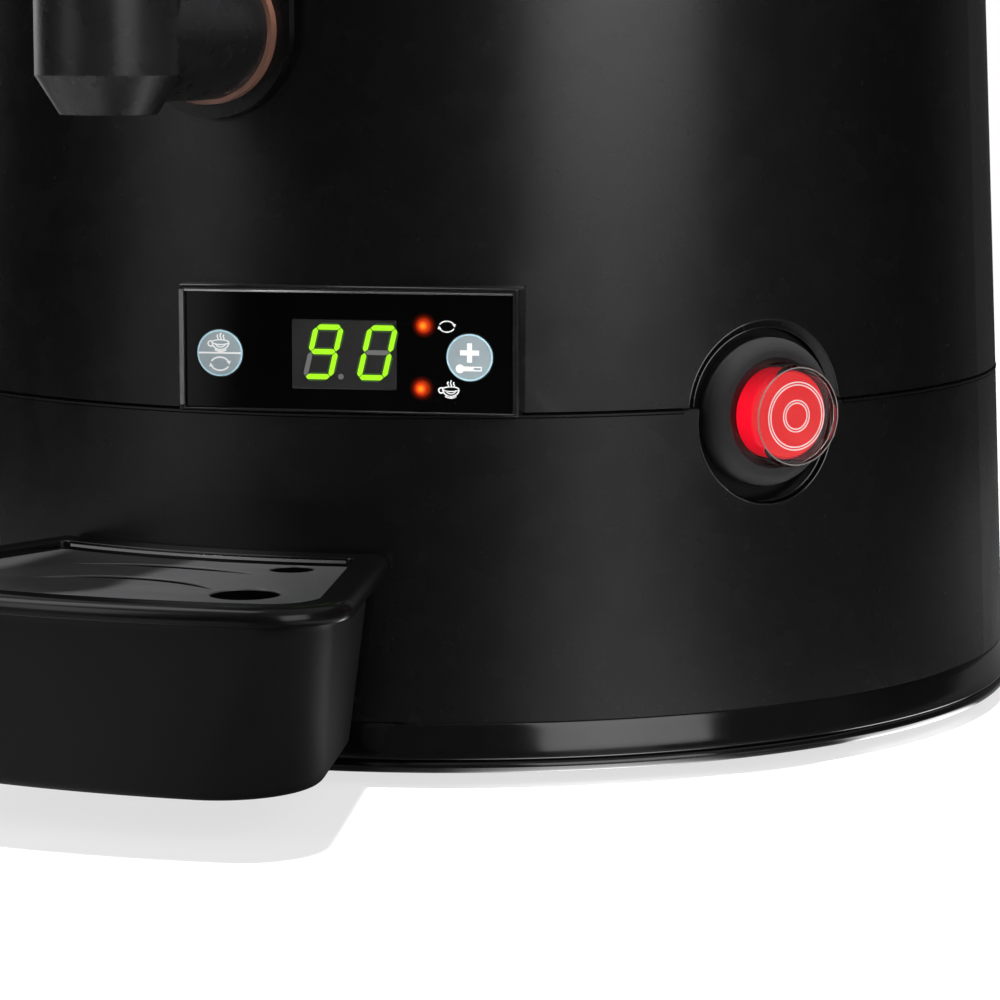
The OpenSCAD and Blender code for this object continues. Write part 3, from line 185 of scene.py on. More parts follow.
RING_PRINT = finish("print_rings", (0.55, 0.45, 0.44), 0.5, ior=1.2)
RING = finish("ring_grey", (0.024, 0.024, 0.025), 0.7, grain=0.12, grain_scale=3500, ior=1.2)
BUTTON = finish("button_red", (0.1, 0.001, 0.003), 0.5, ior=1.2, glow=(0.95, 0.004, 0.022), glow_strength=1.0)
BUTTON_FACE = finish("button_face", (0.1, 0.006, 0.007), 0.5, ior=1.2, glow=(0.62, 0.018, 0.02),
                     glow_strength=1.0)
CAP_HIGHLIGHT = finish("cap_rim_highlight", (0.12, 0.11, 0.105), 0.4)
TOP_HIGHLIGHT = finish("frame_top_highlight", (0.2, 0.2, 0.2), 0.4, ior=1.3)
LEFT_HIGHLIGHT = finish("frame_left_highlight", (0.1, 0.1, 0.1), 0.4, ior=1.3)
SLOT_SHADE = finish("slot_shade", (0.0008, 0.0008, 0.0008), 0.7, ior=1.1)
BACK_HIGHLIGHT = finish("tray_back_highlight", (0.1, 0.1, 0.1), 0.4, ior=1.3)
CAP = finish("cap_clear", (0.97, 0.95, 0.95), 0.03, clear=1.0, ior=1.12, rough_vary=0.015, vary=0.02)
TRAY = finish("tray_gloss", BLACK, 0.2, rough_vary=0.03, ior=1.33)
GRID = finish("grid_satin", (0.03, 0.03, 0.031), 0.42, grain=0.06, grain_scale=2600, rough_vary=0.03)
TAP = finish("tap_black", (0.006, 0.006, 0.0065), 0.28, grain=0.04)
STEEL = finish("steel", (0.62, 0.63, 0.64), 0.28, metal=1.0, vary=0.06)
CAST = finish("cast_metal", (0.42, 0.43, 0.44), 0.45, metal=1.0, grain=0.2)
BRONZE = finish("bronze", (0.55, 0.36, 0.16), 0.35, metal=1.0)
WHITE = finish("white_plastic", (0.74, 0.73, 0.68), 0.4, grain=0.03)
BROWN = finish("brown_insulator", (0.13, 0.06, 0.025), 0.4)
BOARD = finish("board_green", (0.012, 0.09, 0.035), 0.35, grain=0.1)
INNER = finish("inner_black", (0.02, 0.02, 0.021), 0.5, grain=0.08)
RUBBER = finish("rubber", (0.018, 0.018, 0.018), 0.7, grain=0.2)
SILICONE = finish("silicone", (0.1, 0.045, 0.03), 0.5)
BOWL = finish("bowl_clear", (0.97, 0.985, 0.99), 0.03, clear=1.0, ior=1.49, rough_vary=0.015, vary=0.01)
LAMP = finish("lamp_red", (0.05, 0.004, 0.001), 0.6, ior=1.05, glow=(1.0, 0.3, 0.02), glow_strength=0.03)

# Finish of each node of the CAD
NODE_FINISH = {
    SHELL: ("lower_shell", "upper_shell", "lid", "lid_knob", "notch_cover"),
    BAND: ("foot_ring",),
    TRIM: ("panel_frame",),
    GLOSS: ("panel_face",),
    PANE: ("display_module",),
    LAMP: ("indicator_lamps",),
    KEY: ("mode_key", "temp_key"),
    BOARD: ("control_board", "power_board"),
    INNER: ("base_plate", "key_switches", "switch_body", "switch_nut", "cable_gland", "gland_nut"),
    RING: ("switch_ring",),
    BUTTON: ("switch_button",),
    CAP: ("switch_cap",),
    TRAY: ("drip_tray",),
    GRID: ("tray_grid",),
    TAP: ("tap_body", "tap_bonnet", "tap_lever"),
    STEEL: ("deck_plate", "deck_screws", "drive_shaft", "motor_pinion", "knob_screw", "tap_spring",
            "lever_pin", "base_screws", "temp_probe", "motor"),
    CAST: ("gear_case", "gear_cover", "heating_plate", "heater_element"),
    BRONZE: ("shaft_bushes",),
    WHITE: ("drive_gear", "plate_posts", "stirrer", "tap_piston", "board_posts"),
    BROWN: ("thermal_cutout",),
    RUBBER: ("rubber_feet", "collar_seal"),
    SILICONE: ("shaft_seal", "pipe_gasket", "piston_seal"),
    BOWL: ("bowl", "outlet_pipe"),
}
for material, names in NODE_FINISH.items():
    for name in names:
        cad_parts[name].data.materials.clear()
        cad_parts[name].data.materials.append(material)


# Finishes that change across a piece
BEND = 8.0
BEND_U = -12 * MM
ROUGH_BLEND = 2


def calculate(tree, operation, first, second):
    """A sum, product or the like of a socket and a number or another socket."""
    node = tree.nodes.new("ShaderNodeMath")
    node.operation = operation
    tree.links.new(first, node.inputs[0])
    if isinstance(second, (int, float)):
        node.inputs[1].default_value = second
    else:
        tree.links.new(second, node.inputs[1])
    return node.outputs["Value"]


def sideways(tree, place):
    """Distance in metres to the right of a frame's middle."""
    spot = tree.nodes.new("ShaderNodeTexCoord")
    along = tree.nodes.new("ShaderNodeVectorMath")
    along.operation = "DOT_PRODUCT"
    right = place.to_3x3() @ Vector((1, 0, 0))
    along.inputs[1].default_value = right
    tree.links.new(spot.outputs["Object"], along.inputs[0])
    return calculate(tree, "SUBTRACT", along.outputs["Value"], right.dot(place.translation) * MM)


def height_of(tree):
    """Height in metres above the floor."""
    spot = tree.nodes.new("ShaderNodeTexCoord")
    split = tree.nodes.new("ShaderNodeSeparateXYZ")
    tree.links.new(spot.outputs["Object"], split.inputs["Vector"])
    return split.outputs["Z"]


def bend_left_end(material):
    """The glossy face leans towards the drum at its left end, where it is pressed into its frame."""
    tree = material.node_tree
    past = calculate(tree, "MINIMUM", calculate(tree, "SUBTRACT", sideways(tree, ON_PANEL), BEND_U), 0)
    height = calculate(tree, "MULTIPLY", calculate(tree, "MULTIPLY", past, past), -BEND / 2)
    bump = tree.nodes.new("ShaderNodeBump")
    bump.inputs["Strength"].default_value = 1
    bump.inputs["Distance"].default_value = 1
    tree.links.new(height, bump.inputs["Height"])
    tree.links.new(bump.outputs["Normal"], tree.nodes["Principled BSDF"].inputs["Normal"])


def shade_glow_by_height(material, z, reach, middle, edge):
    """A glow painted with shade, going from one colour at a height to another at a reach above and below it.
    """
    tree = material.node_tree
    level = calculate(tree, "SUBTRACT", height_of(tree), z * MM)
    away = calculate(tree, "MULTIPLY", level, level)
    share = spread(tree, away, 0, 1, 0, (reach * MM) ** 2)
    glow = blend_colour(tree, share, middle, edge)
    tree.links.new(glow, tree.nodes["Principled BSDF"].inputs["Emission Color"])


def fade_across(material, place, start, end, left, right):
    """A colour for painted highlights and painted shade, going from one to another between two distances to
    the right of a frame's middle.
    """
    tree = material.node_tree
    share = spread(tree, sideways(tree, place), 0, 1, start * MM, end * MM)
    tree.links.new(blend_colour(tree, share, left, right), tree.nodes["Principled BSDF"].inputs["Base Color"])


def rough_below(material, z, low, high):
    """A roughness of one value below a height and another above it."""
    tree = material.node_tree
    rough = spread(tree, height_of(tree), low, high, (z - ROUGH_BLEND) * MM, z * MM)
    tree.links.new(rough, tree.nodes["Principled BSDF"].inputs["Roughness"])


RIM_Z = 51.4
RIM_T = 4.1
bend_left_end(GLOSS)
# Painted shade: the button's glow dims above and below the switch's height
shade_glow_by_height(BUTTON, SWITCH_Z, reach=10, middle=(0.95, 0.004, 0.022), edge=(0.2, 0.001, 0.005))
# Painted shade: the switch's soft ring is darker on its left side
fade_across(RING, ON_SWITCH, start=-16.5, end=-10, left=(0.006, 0.006, 0.0063), right=(0.018, 0.018, 0.0187))
# Painted highlight: the upper bar's line is brighter over its left part and darker from the middle to the
# right
fade_across(TOP_HIGHLIGHT, ON_PANEL, start=-16, end=0, left=(0.2, 0.2, 0.2), right=(0.05, 0.05, 0.05))
# Painted shade: the grid plate is darker towards its right
fade_across(GRID, ON_AXIS, start=12, end=42, left=(0.03, 0.03, 0.031), right=(0.018, 0.018, 0.0186))
# Painted highlight: the tray's back line is brighter at the left and darker towards the right
fade_across(BACK_HIGHLIGHT, ON_AXIS, start=-4, end=34, left=(0.32, 0.32, 0.32), right=(0.08, 0.08, 0.08))
rough_below(TRAY, RIM_Z - RIM_T, low=0.6, high=0.2)


def bare_material(name):
    """A new material without any nodes."""
    material = bpy.data.materials.new(name)
    material.use_nodes = True
    material.node_tree.nodes.clear()
    return material


def ramp_glow(tree, value, stops, strength):
    """A light whose colour follows a value from 0 to 1 along stops of a position and a colour."""
    ramp = tree.nodes.new("ShaderNodeValToRGB")
    while len(ramp.color_ramp.elements) < len(stops):
        ramp.color_ramp.elements.new(0.5)
    for element, (position, colour) in zip(ramp.color_ramp.elements, stops):
        element.position = position
        element.color = (*colour, 1)
    tree.links.new(value, ramp.inputs["Fac"])
    glow = tree.nodes.new("ShaderNodeEmission")
    glow.inputs["Strength"].default_value = strength
    tree.links.new(ramp.outputs["Color"], glow.inputs["Color"])
    return glow.outputs["Emission"]


# Meshes
def piece(name, verts, faces, place, material, body, sharp=35):
    """A mesh given in mm in a frame of its own, placed, shaded, and riding on a body."""
    mesh = bpy.data.meshes.new(name)
    mesh.from_pydata([tuple((place @ Vector(v)) * MM) for v in verts], [], faces)
    mesh.validate()
    mesh.shade_smooth()
    mesh.set_sharp_from_angle(angle=math.radians(sharp))
    mesh.materials.append(material)
    obj = bpy.data.objects.new(name, mesh)
    bpy.context.scene.collection.objects.link(obj)
    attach(obj, body)
    return obj


def revolve(profile, steps=128):
    """Vertices and faces of a closed profile of radii and heights turned about the third axis."""
    count = len(profile)
    verts = []
    for i in range(steps):
        a = 2 * math.pi * i / steps
        verts += [(r * math.sin(a), -r * math.cos(a), z) for r, z in profile]
    faces = []
    for i in range(steps):
        for j in range(count):
            n = (j + 1) % count
            if profile[j][0] == 0 and profile[n][0] == 0:
                continue
            a = i * count + j
            b = i * count + n
            c = (i + 1) % steps * count + n
            d = (i + 1) % steps * count + j
            if profile[j][0] == 0:
                faces.append((a, c, b))
            elif profile[n][0] == 0:
                faces.append((a, d, b))
            else:
                faces.append((a, d, c, b))
    return verts, faces


def skin(rings, cap_start=False, cap_end=False):
    """Vertices and faces of closed rings of equal count joined one to the next."""
    count = len(rings[0])
    verts = [v for ring in rings for v in ring]
    faces = []
    for i in range(len(rings) - 1):
        for j in range(count):
            a = i * count + j
            b = i * count + (j + 1) % count
            faces.append((a, b, b + count, a + count))
    if cap_start:
        faces.append(tuple(reversed(range(count))))
    if cap_end:
        faces.append(tuple(range((len(rings) - 1) * count, len(rings) * count)))
    return verts, faces


def arc(cx, cy, radius, start, end, steps):
    """Points on an arc, from one angle to another in degrees."""
    angles = [math.radians(start + (end - start) * i / steps) for i in range(steps + 1)]
    return [(cx + radius * math.cos(a), cy + radius * math.sin(a)) for a in angles]


def oval(cx, cy, rx, ry, start, end, steps=24):
    """Points on a stretch of an ellipse."""
    angles = [math.radians(start + (end - start) * i / steps) for i in range(steps + 1)]
    return [(cx + rx * math.cos(a), cy + ry * math.sin(a)) for a in angles]


def circle(cx, cy, radius, steps=48):
    """Points round a circle."""
    return arc(cx, cy, radius, 0, 360 - 360 / steps, steps - 1)


def area(outline):
    """Signed area of an outline, positive when it runs anticlockwise."""
    total = 0
    for i, (x, y) in enumerate(outline):
        nx, ny = outline[(i + 1) % len(outline)]
        total += x * ny - nx * y
    return total / 2


def ribbon(points, width):
    """Outline of an open stroke of a width with blunt ends."""
    left, right = [], []
    last = len(points) - 1
    for i, (x, y) in enumerate(points):
        x0, y0 = points[max(0, i - 1)]
        x1, y1 = points[min(last, i + 1)]
        length = math.hypot(x1 - x0, y1 - y0)
        nx, ny = -(y1 - y0) / length, (x1 - x0) / length
        left.append((x + nx * width / 2, y + ny * width / 2))
        right.append((x - nx * width / 2, y - ny * width / 2))
    return left + right[::-1]


LEAST_TURN = 0.5


def offset(outline, distance):
    """An outline moved outwards by a distance, or inwards if it is negative."""
    way = 1 if area(outline) > 0 else -1
    moved = []
    count = len(outline)
    for i, (x, y) in enumerate(outline):
        x0, y0 = outline[i - 1]
        x1, y1 = outline[(i + 1) % count]
        ax, ay = x - x0, y - y0
        bx, by = x1 - x, y1 - y
        la, lb = math.hypot(ax, ay), math.hypot(bx, by)
        n1 = Vector((ay / la, -ax / la))
        n2 = Vector((by / lb, -bx / lb))
        n = (n1 + n2).normalized()
        stretch = 1 / max(LEAST_TURN, n.dot(n1))
        moved.append((x + way * n.x * distance * stretch, y + way * n.y * distance * stretch))
    return moved


def plate(shapes, low, high, bevel=0.0, turns=3):
    """Vertices and faces of flat shapes, each an outline and its holes, with a rounded upper edge."""
    verts, faces = [], []
    for outer, holes in shapes:
        loops = [outer if area(outer) > 0 else outer[::-1]]
        loops += [hole if area(hole) < 0 else hole[::-1] for hole in holes]
        tops, bottoms = [], []
        for k, loop in enumerate(loops):
            levels = [(0, low)]
            if bevel:
                for t in range(turns + 1):
                    a = math.pi / 2 * t / turns
                    levels.append((bevel * (1 - math.cos(a)), high - bevel * (1 - math.sin(a))))
            else:
                levels.append((0, high))
            starts = []
            for inset, z in levels:
                grown = offset(loop, -inset if k == 0 else inset) if inset else loop
                starts.append(len(verts))
                verts += [(x, y, z) for x, y in grown]
            count = len(loop)
            for s0, s1 in zip(starts, starts[1:]):
                for j in range(count):
                    n = (j + 1) % count
                    faces.append((s0 + j, s0 + n, s1 + n, s1 + j))
            tops.append(starts[-1])
            bottoms.append(starts[0])
        for starts, up in ((tops, True), (bottoms, False)):
            index = [s + j for s, loop in zip(starts, loops) for j in range(len(loop))]
            flat = [[Vector((verts[s + j][0], verts[s + j][1], 0)) for j in range(len(loop))]
                    for s, loop in zip(starts, loops)]
            for a, b, c in tessellate_polygon(flat):
                p, q, r = verts[index[a]], verts[index[b]], verts[index[c]]
                turn = (q[0] - p[0]) * (r[1] - p[1]) - (r[0] - p[0]) * (q[1] - p[1])
                tri = (index[a], index[b], index[c])
                faces.append(tri if (turn > 0) == up else tri[::-1])
    return verts, faces


def graphic(name, shapes, place, low, high, material, body):
    """Thin flat shapes on a face: print, display segments, a button's face, and painted glows and highlights.
    """
    verts, faces = plate([s if isinstance(s, tuple) else (s, []) for s in shapes], low, high)
    return piece(name, verts, faces, place, material, body)


def band_between(cx, cy, outer, inner, steps=64):
    """A flat ring as an outline and its hole."""
    return circle(cx, cy, outer, steps), [circle(cx, cy, inner, steps)]


# Printed signs: a steaming cup and two circling arrows, about a centre and at a scale
def cup_sign(cx, cy, s):
    """A cup on a saucer with steam above it."""
    def at(points):
        return [(cx + s * x, cy + s * y) for x, y in points]
    line = 0.3 * s
    bowl = ribbon(at(oval(0.3, 0.15, 1.8, 1.55, 180, 360)), line)
    inner = ribbon(at(oval(0.3, 0.1, 1.15, 0.95, 190, 350)), line * 0.8)
    rim = ribbon(at(oval(0.3, 0.15, 1.8, 0.5, 0, 358)), line * 0.9)
    handle = ribbon(at(oval(-1.75, -0.15, 0.62, 0.55, 40, 320)), line)
    saucer = ribbon(at(oval(0.3, -0.9, 1.5, 0.85, 215, 325)), line)
    steam = [ribbon(at([(x, 0.5), (x + 0.16, 0.95), (x - 0.1, 1.4), (x + 0.12, top)]), line)
             for x, top in ((-0.35, 1.75), (0.3, 2.1), (0.95, 1.7))]
    return [bowl, inner, rim, handle, saucer, *steam]


def arrows_sign(cx, cy, s):
    """Two arrows that follow each other round an oval."""
    def at(points):
        return [(cx + s * x, cy + s * y) for x, y in points]
    line = 0.32 * s
    shapes = []
    for way in (1, -1):
        points = oval(0, 0, 1.85, 1.3, 158, 24)
        shapes.append(ribbon(at([(way * x, way * y) for x, y in points]), line))
        head = [(1.3, 0.55), (2.25, 0.62), (1.95, -0.2)]
        shapes.append(at([(way * x, way * y) for x, y in head]))
    return shapes


# Panel frame with rounded bars
BAR_W = 1.6
BAR_RISE = 0.8
BAR_STEPS = 12
FACE_T = 2
SILL = 1
FRAME_DEPTH = 11
FRAME_ROUND = 0.6
LEAST_ROUND = 0.2
LOW_BAR = BAR_W / 2


def rounded_rectangle(x0, y0, x1, y1, radius, steps=6):
    """Points round a rectangle with rounded corners."""
    points = arc(x1 - radius, y1 - radius, radius, 0, 90, steps)
    points += arc(x0 + radius, y1 - radius, radius, 90, 180, steps)
    points += arc(x0 + radius, y0 + radius, radius, 180, 270, steps)
    points += arc(x1 - radius, y0 + radius, radius, 270, 360, steps)
    return points


def frame_ring(inset, w):
    """One ring of the panel frame at an inset from its outer edge; the low bar is thinner."""
    low = inset * LOW_BAR / BAR_W
    r = max(LEAST_ROUND, FRAME_ROUND - inset)
    points = rounded_rectangle(-PANEL_W / 2 + inset, low, PANEL_W / 2 - inset, PANEL_H - inset, r)
    return [(x, y, w) for x, y in points]


half_bar = BAR_W / 2
profile = [(0, -FRAME_DEPTH), (0, BAR_RISE - half_bar)]
profile += [(half_bar - half_bar * math.cos(a), BAR_RISE - half_bar + half_bar * math.sin(a))
            for a in (math.pi * i / BAR_STEPS for i in range(1, BAR_STEPS))]
profile += [(BAR_W, BAR_RISE - half_bar), (BAR_W, -FACE_T), (BAR_W + SILL, -FACE_T),
            (BAR_W + SILL, -FRAME_DEPTH)]
rings = [frame_ring(inset, w) for inset, w in profile]
verts, faces = skin(rings + [rings[0]])
frame_bars = piece("panel_frame_bars", verts, faces, ON_PANEL, TRIM, "machine")
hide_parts("panel_frame")

# Painted highlights: lighter lines along the frame's left and upper bars
LINE_LOW = 0.5
LINE_HIGH = 0.85
LINE_BEVEL = 0.2
LEFT_IN = (0.25, 1.25)
LEFT_END = 1.2
LEFT_ROUND = 0.3
TOP_IN = (1.15, 1.65)
TOP_END = 1.4
TOP_ROUND = 0.2
half_w = PANEL_W / 2
left_line = rounded_rectangle(LEFT_IN[0] - half_w, LEFT_END, LEFT_IN[1] - half_w, PANEL_H - LEFT_END,
                              LEFT_ROUND)
top_line = rounded_rectangle(TOP_END - half_w, PANEL_H - TOP_IN[1], half_w - TOP_END, PANEL_H - TOP_IN[0],
                             TOP_ROUND)
for name, line, material in (("frame_highlight_left", left_line, LEFT_HIGHLIGHT),
                             ("frame_highlight_top", top_line, TOP_HIGHLIGHT)):
    verts, faces = plate([(line, [])], LINE_LOW, LINE_HIGH, LINE_BEVEL)
    piece(name, verts, faces, ON_PANEL, material, "machine")

# Display: a pane in the window, two slanted figures of seven segments and a point
WINDOW_U = -0.8
WINDOW_V = 12.8
WINDOW_W = 23.5
WINDOW_H = 15.3
SLANT = math.tan(math.radians(13.3))
FIGURE_W = 5.6
FIGURE_V = (7.92, 13.37, 18.72)
LEFT_U = -5.45
RIGHT_U = 6.55
STROKE = 1.14
STROKE_GAP = 0.12
EDGE_GROWTH = 0.8
UNLIT_LOSS = 0.1
LIT_TOP = 0.03
UNLIT_TOP = 0.02
POINT_U = -1.55
POINT_V = 8.0
POINT_R = 0.62
PANE_LOW = -0.38
PANE_TOP = -0.02
PANE_BEVEL = 0.05
PANE_ROUND = 0.3
PANE_GAP = 0.1
half_w = WINDOW_W / 2 - PANE_GAP
half_h = WINDOW_H / 2 - PANE_GAP
pane_outline = rounded_rectangle(WINDOW_U - half_w, WINDOW_V - half_h, WINDOW_U + half_w, WINDOW_V + half_h,
                                 PANE_ROUND)
verts, faces = plate([(pane_outline, [])], PANE_LOW, PANE_TOP, PANE_BEVEL)
piece("display_pane", verts, faces, ON_PANEL, PANE, "machine")


def segment(start, end, width):
    """A segment with pointed ends, short of the corners it points to."""
    a, b = Vector(start), Vector(end)
    along = (b - a).normalized()
    side = Vector((-along.y, along.x)) * width / 2
    tip = width / 2
    a, b = a + along * STROKE_GAP, b - along * STROKE_GAP
    points = [a, a + along * tip - side, b - along * tip - side, b, b - along * tip + side,
              a + along * tip + side]
    return [(p.x + (p.y - FIGURE_V[1]) * SLANT, p.y) for p in points]


def figure(centre):
    """The ends of a figure's seven segments by their usual letters."""
    low, mid, top = FIGURE_V
    x0, x1 = centre - FIGURE_W / 2, centre + FIGURE_W / 2
    return {"a": ((x0, top), (x1, top)), "b": ((x1, mid), (x1, top)), "c": ((x1, low), (x1, mid)),
            "d": ((x0, low), (x1, low)), "e": ((x0, low), (x0, mid)), "f": ((x0, mid), (x0, top)),
            "g": ((x0, mid), (x1, mid))}


lit, dim = [], []
for centre, on in ((LEFT_U, "abcdfg"), (RIGHT_U, "abcdef")):
    for letter, (start, end) in figure(centre).items():
        (lit if letter in on else dim).append((start, end))
# Painted glow: a faint green halo round each lit segment, spilling onto the pane
graphic("segment_glow_halos", [segment(s, e, STROKE + EDGE_GROWTH) for s, e in lit], ON_PANEL, PANE_TOP, 0,
        HALO_GREEN, "machine")
graphic("segments_lit", [segment(s, e, STROKE) for s, e in lit], ON_PANEL, 0, LIT_TOP, LIT, "machine")
unlit_shapes = [segment(s, e, STROKE - UNLIT_LOSS) for s, e in dim]
unlit_shapes.append(circle(POINT_U, POINT_V, POINT_R, 24))
graphic("segments_unlit", unlit_shapes, ON_PANEL, PANE_TOP, UNLIT_TOP, UNLIT, "machine")

# Indicator lamps: a low dome of glow over each, and a sign beside it
LAMPS = ((16.4, 5.8), (16.9, 19.4))
HALO_R = 3.0
HALO_W = 0.95
DOME_RISE = 1.1
DOME_REACH = 0.68
DOME_EDGE = 0.04
DOME_FLOOR = 0.03
DOME_STEPS = 10
SIGN_T = 0.03


def halo_finish(name, centre):
    """A red glow that fades with distance from a lamp, over the face behind it."""
    material = bare_material(name)
    tree = material.node_tree
    place = tree.nodes.new("ShaderNodeTexCoord")
    away = tree.nodes.new("ShaderNodeVectorMath")
    away.operation = "DISTANCE"
    away.inputs[1].default_value = centre
    tree.links.new(place.outputs["Object"], away.inputs[0])
    stops = ((0.0, (1.0, 0.5, 0.03)), (0.13, (1.0, 0.28, 0.014)), (0.32, (0.75, 0.045, 0.006)),
             (0.52, (0.2, 0.008, 0.002)), (0.72, (0.04, 0.002, 0.0)), (0.87, (0.008, 0.0004, 0.0)),
             (1.0, (0.0, 0.0, 0.0)))
    glow = ramp_glow(tree, spread(tree, away.outputs["Value"], 0, 1, 0, HALO_R * MM), stops, 1)
    through = tree.nodes.new("ShaderNodeBsdfTransparent")
    both = tree.nodes.new("ShaderNodeAddShader")
    tree.links.new(through.outputs["BSDF"], both.inputs[0])
    tree.links.new(glow, both.inputs[1])
    out = tree.nodes.new("ShaderNodeOutputMaterial")
    tree.links.new(both.outputs["Shader"], out.inputs["Surface"])
    return material


dome = [(0, DOME_EDGE + DOME_RISE)]
for i in range(1, DOME_STEPS + 1):
    share = i / DOME_STEPS
    dome.append((HALO_R * share, DOME_EDGE + DOME_RISE * max(0, 1 - (share / DOME_REACH) ** 2)))
dome += [(HALO_R, DOME_FLOOR), (0, DOME_FLOOR)]
for k, (u, v) in enumerate(LAMPS):
    centre = (ON_PANEL @ Vector((u, v, HALO_W))) * MM
    halo = halo_finish(f"lamp_halo_{k}", centre)
    verts, faces = revolve(dome, 48)
    verts = [(x + u, y + v, z) for x, y, z in verts]
    piece(f"lamp_glow_{k}", verts, faces, ON_PANEL, halo, "machine")
lamp_signs = arrows_sign(21.95, 19.25, 0.9) + cup_sign(22.5, 5.6, 1.0)
graphic("panel_signs", lamp_signs, ON_PANEL, 0, SIGN_T, PRINT, "machine")

# Keys: a pale ring at the edge with a faint painted glow, and printed signs
MODE_U = -28.6
TEMP_U = 27
KEY_V = 12.7
KEY_R = 5.05
KEY_PROUD = 0.3
KEY_PRINT = KEY_PROUD + 0.04
KEY_RIM = (KEY_R + 0.02, KEY_R - 0.32)
KEY_RIM_LOW = KEY_PROUD - 0.1
KEY_RIM_TOP = KEY_PROUD + 0.05
DIVIDER_U = 4.85
DIVIDER_V = (-0.16, 0.2)


def bar_shape(x0, y0, x1, y1):
    """A rectangle by two corners."""
    return [(x0, y0), (x1, y0), (x1, y1), (x0, y1)]


for body, u in (("mode_key", MODE_U), ("temp_key", TEMP_U)):
    graphic(f"{body}_edge", [band_between(u, KEY_V, *KEY_RIM)], ON_PANEL, KEY_RIM_LOW, KEY_RIM_TOP, KEY_EDGE_GLOW,
            body)
mode_signs = [bar_shape(MODE_U - DIVIDER_U, KEY_V + DIVIDER_V[0], MODE_U + DIVIDER_U, KEY_V + DIVIDER_V[1])]
mode_signs += cup_sign(MODE_U - 0.15, KEY_V + 2.2, 1.05)
mode_signs += arrows_sign(MODE_U, KEY_V - 2.35, 1.1)
graphic("mode_key_signs", mode_signs, ON_PANEL, KEY_PROUD, KEY_PRINT, PRINT, "mode_key")

# Right key: a plus above a thermometer
PLUS = 2.1
PLUS_T = 0.55
BULB_R = 0.95
TUBE_OUT = 0.5
TUBE_IN = 0.25
plus_v = KEY_V + 1.0
gauge_v = KEY_V - 2.45
bulb_u = TEMP_U - 2.1
tube_start = TEMP_U - 1.3
tube_fill = TEMP_U + 0.9
tube_end = TEMP_U + 2.7
temp_signs = [bar_shape(TEMP_U - PLUS, plus_v - PLUS_T, TEMP_U + PLUS, plus_v + PLUS_T),
              bar_shape(TEMP_U - PLUS_T, plus_v + PLUS_T, TEMP_U + PLUS_T, plus_v + PLUS),
              bar_shape(TEMP_U - PLUS_T, plus_v - PLUS, TEMP_U + PLUS_T, plus_v - PLUS_T),
              circle(bulb_u, gauge_v, BULB_R, 32),
              bar_shape(tube_start, gauge_v - TUBE_OUT, tube_end, gauge_v - TUBE_IN),
              bar_shape(tube_start, gauge_v + TUBE_IN, tube_end, gauge_v + TUBE_OUT),
              bar_shape(tube_start, gauge_v - TUBE_IN, tube_fill, gauge_v + TUBE_IN),
              bar_shape(tube_end - TUBE_IN, gauge_v - TUBE_IN, tube_end, gauge_v + TUBE_IN)]
graphic("temp_key_signs", temp_signs, ON_PANEL, KEY_PROUD, KEY_PRINT, PRINT, "temp_key")

# Power switch: a red button with a pale face and two double rings, under a hollow clear cap
SWITCH_WALL = shell_r(SWITCH_Z)
CAP_R = 11.35
CAP_T = 1
CAP_ROUND = 1.4
CAP_FRONT = SWITCH_WALL + 11.2
CAP_BACK = SWITCH_WALL + 1.8
BUTTON_R = 9.9
BUTTON_EDGE = 0.5
FACE_W = SWITCH_WALL + 7.3
FACE_LOW = FACE_W - 0.05
FACE_TOP = FACE_W + 0.02
PRINT_W = CAP_FRONT - CAP_T - 0.1
PRINT_T = 0.04
PRINT_RADII = (7.6, 7.0, 3.6, 3.0)
PRINT_LINE = 0.26
CAP_LINE_R = (10.85, 10.6)
CAP_LINE_LOW = CAP_FRONT - 0.3
CAP_LINE_TOP = CAP_FRONT - 0.18
button_side = [(0, CAP_BACK), (BUTTON_R, CAP_BACK)]
button_side += arc(BUTTON_R - BUTTON_EDGE, FACE_W - BUTTON_EDGE, BUTTON_EDGE, 0, 90, 6)
verts, faces = revolve(button_side + [(0, FACE_W)], 96)
button_core = piece("button_core", verts, faces, ON_SWITCH, BUTTON, "switch_plunger")
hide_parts("switch_button")
graphic("button_face", [circle(0, 0, BUTTON_R - BUTTON_EDGE, 96)], ON_SWITCH, FACE_LOW, FACE_TOP, BUTTON_FACE,
        "switch_plunger")
double_rings = [band_between(0, 0, r, r - PRINT_LINE, 96) for r in PRINT_RADII]
graphic("button_rings", double_rings, ON_SWITCH, PRINT_W, PRINT_W + PRINT_T, RING_PRINT, "switch_plunger")
cap_wall = [(CAP_R - CAP_T, CAP_BACK), (CAP_R, CAP_BACK)]
cap_wall += arc(CAP_R - CAP_ROUND, CAP_FRONT - CAP_ROUND, CAP_ROUND, 0, 90, 8)
cap_wall += [(0, CAP_FRONT), (0, CAP_FRONT - CAP_T)]
cap_wall += arc(CAP_R - CAP_ROUND, CAP_FRONT - CAP_ROUND, CAP_ROUND - CAP_T, 90, 0, 4)
verts, faces = revolve(cap_wall, 128)
clear_cap = piece("cap_shell", verts, faces, ON_SWITCH, CAP, "switch_plunger")
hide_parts("switch_cap")
# Painted highlight: a pale ring on the cap's rounded front rim
graphic("cap_rim_highlight_line", [band_between(0, 0, *CAP_LINE_R, 96)], ON_SWITCH, CAP_LINE_LOW, CAP_LINE_TOP,
        CAP_HIGHLIGHT, "switch_plunger")

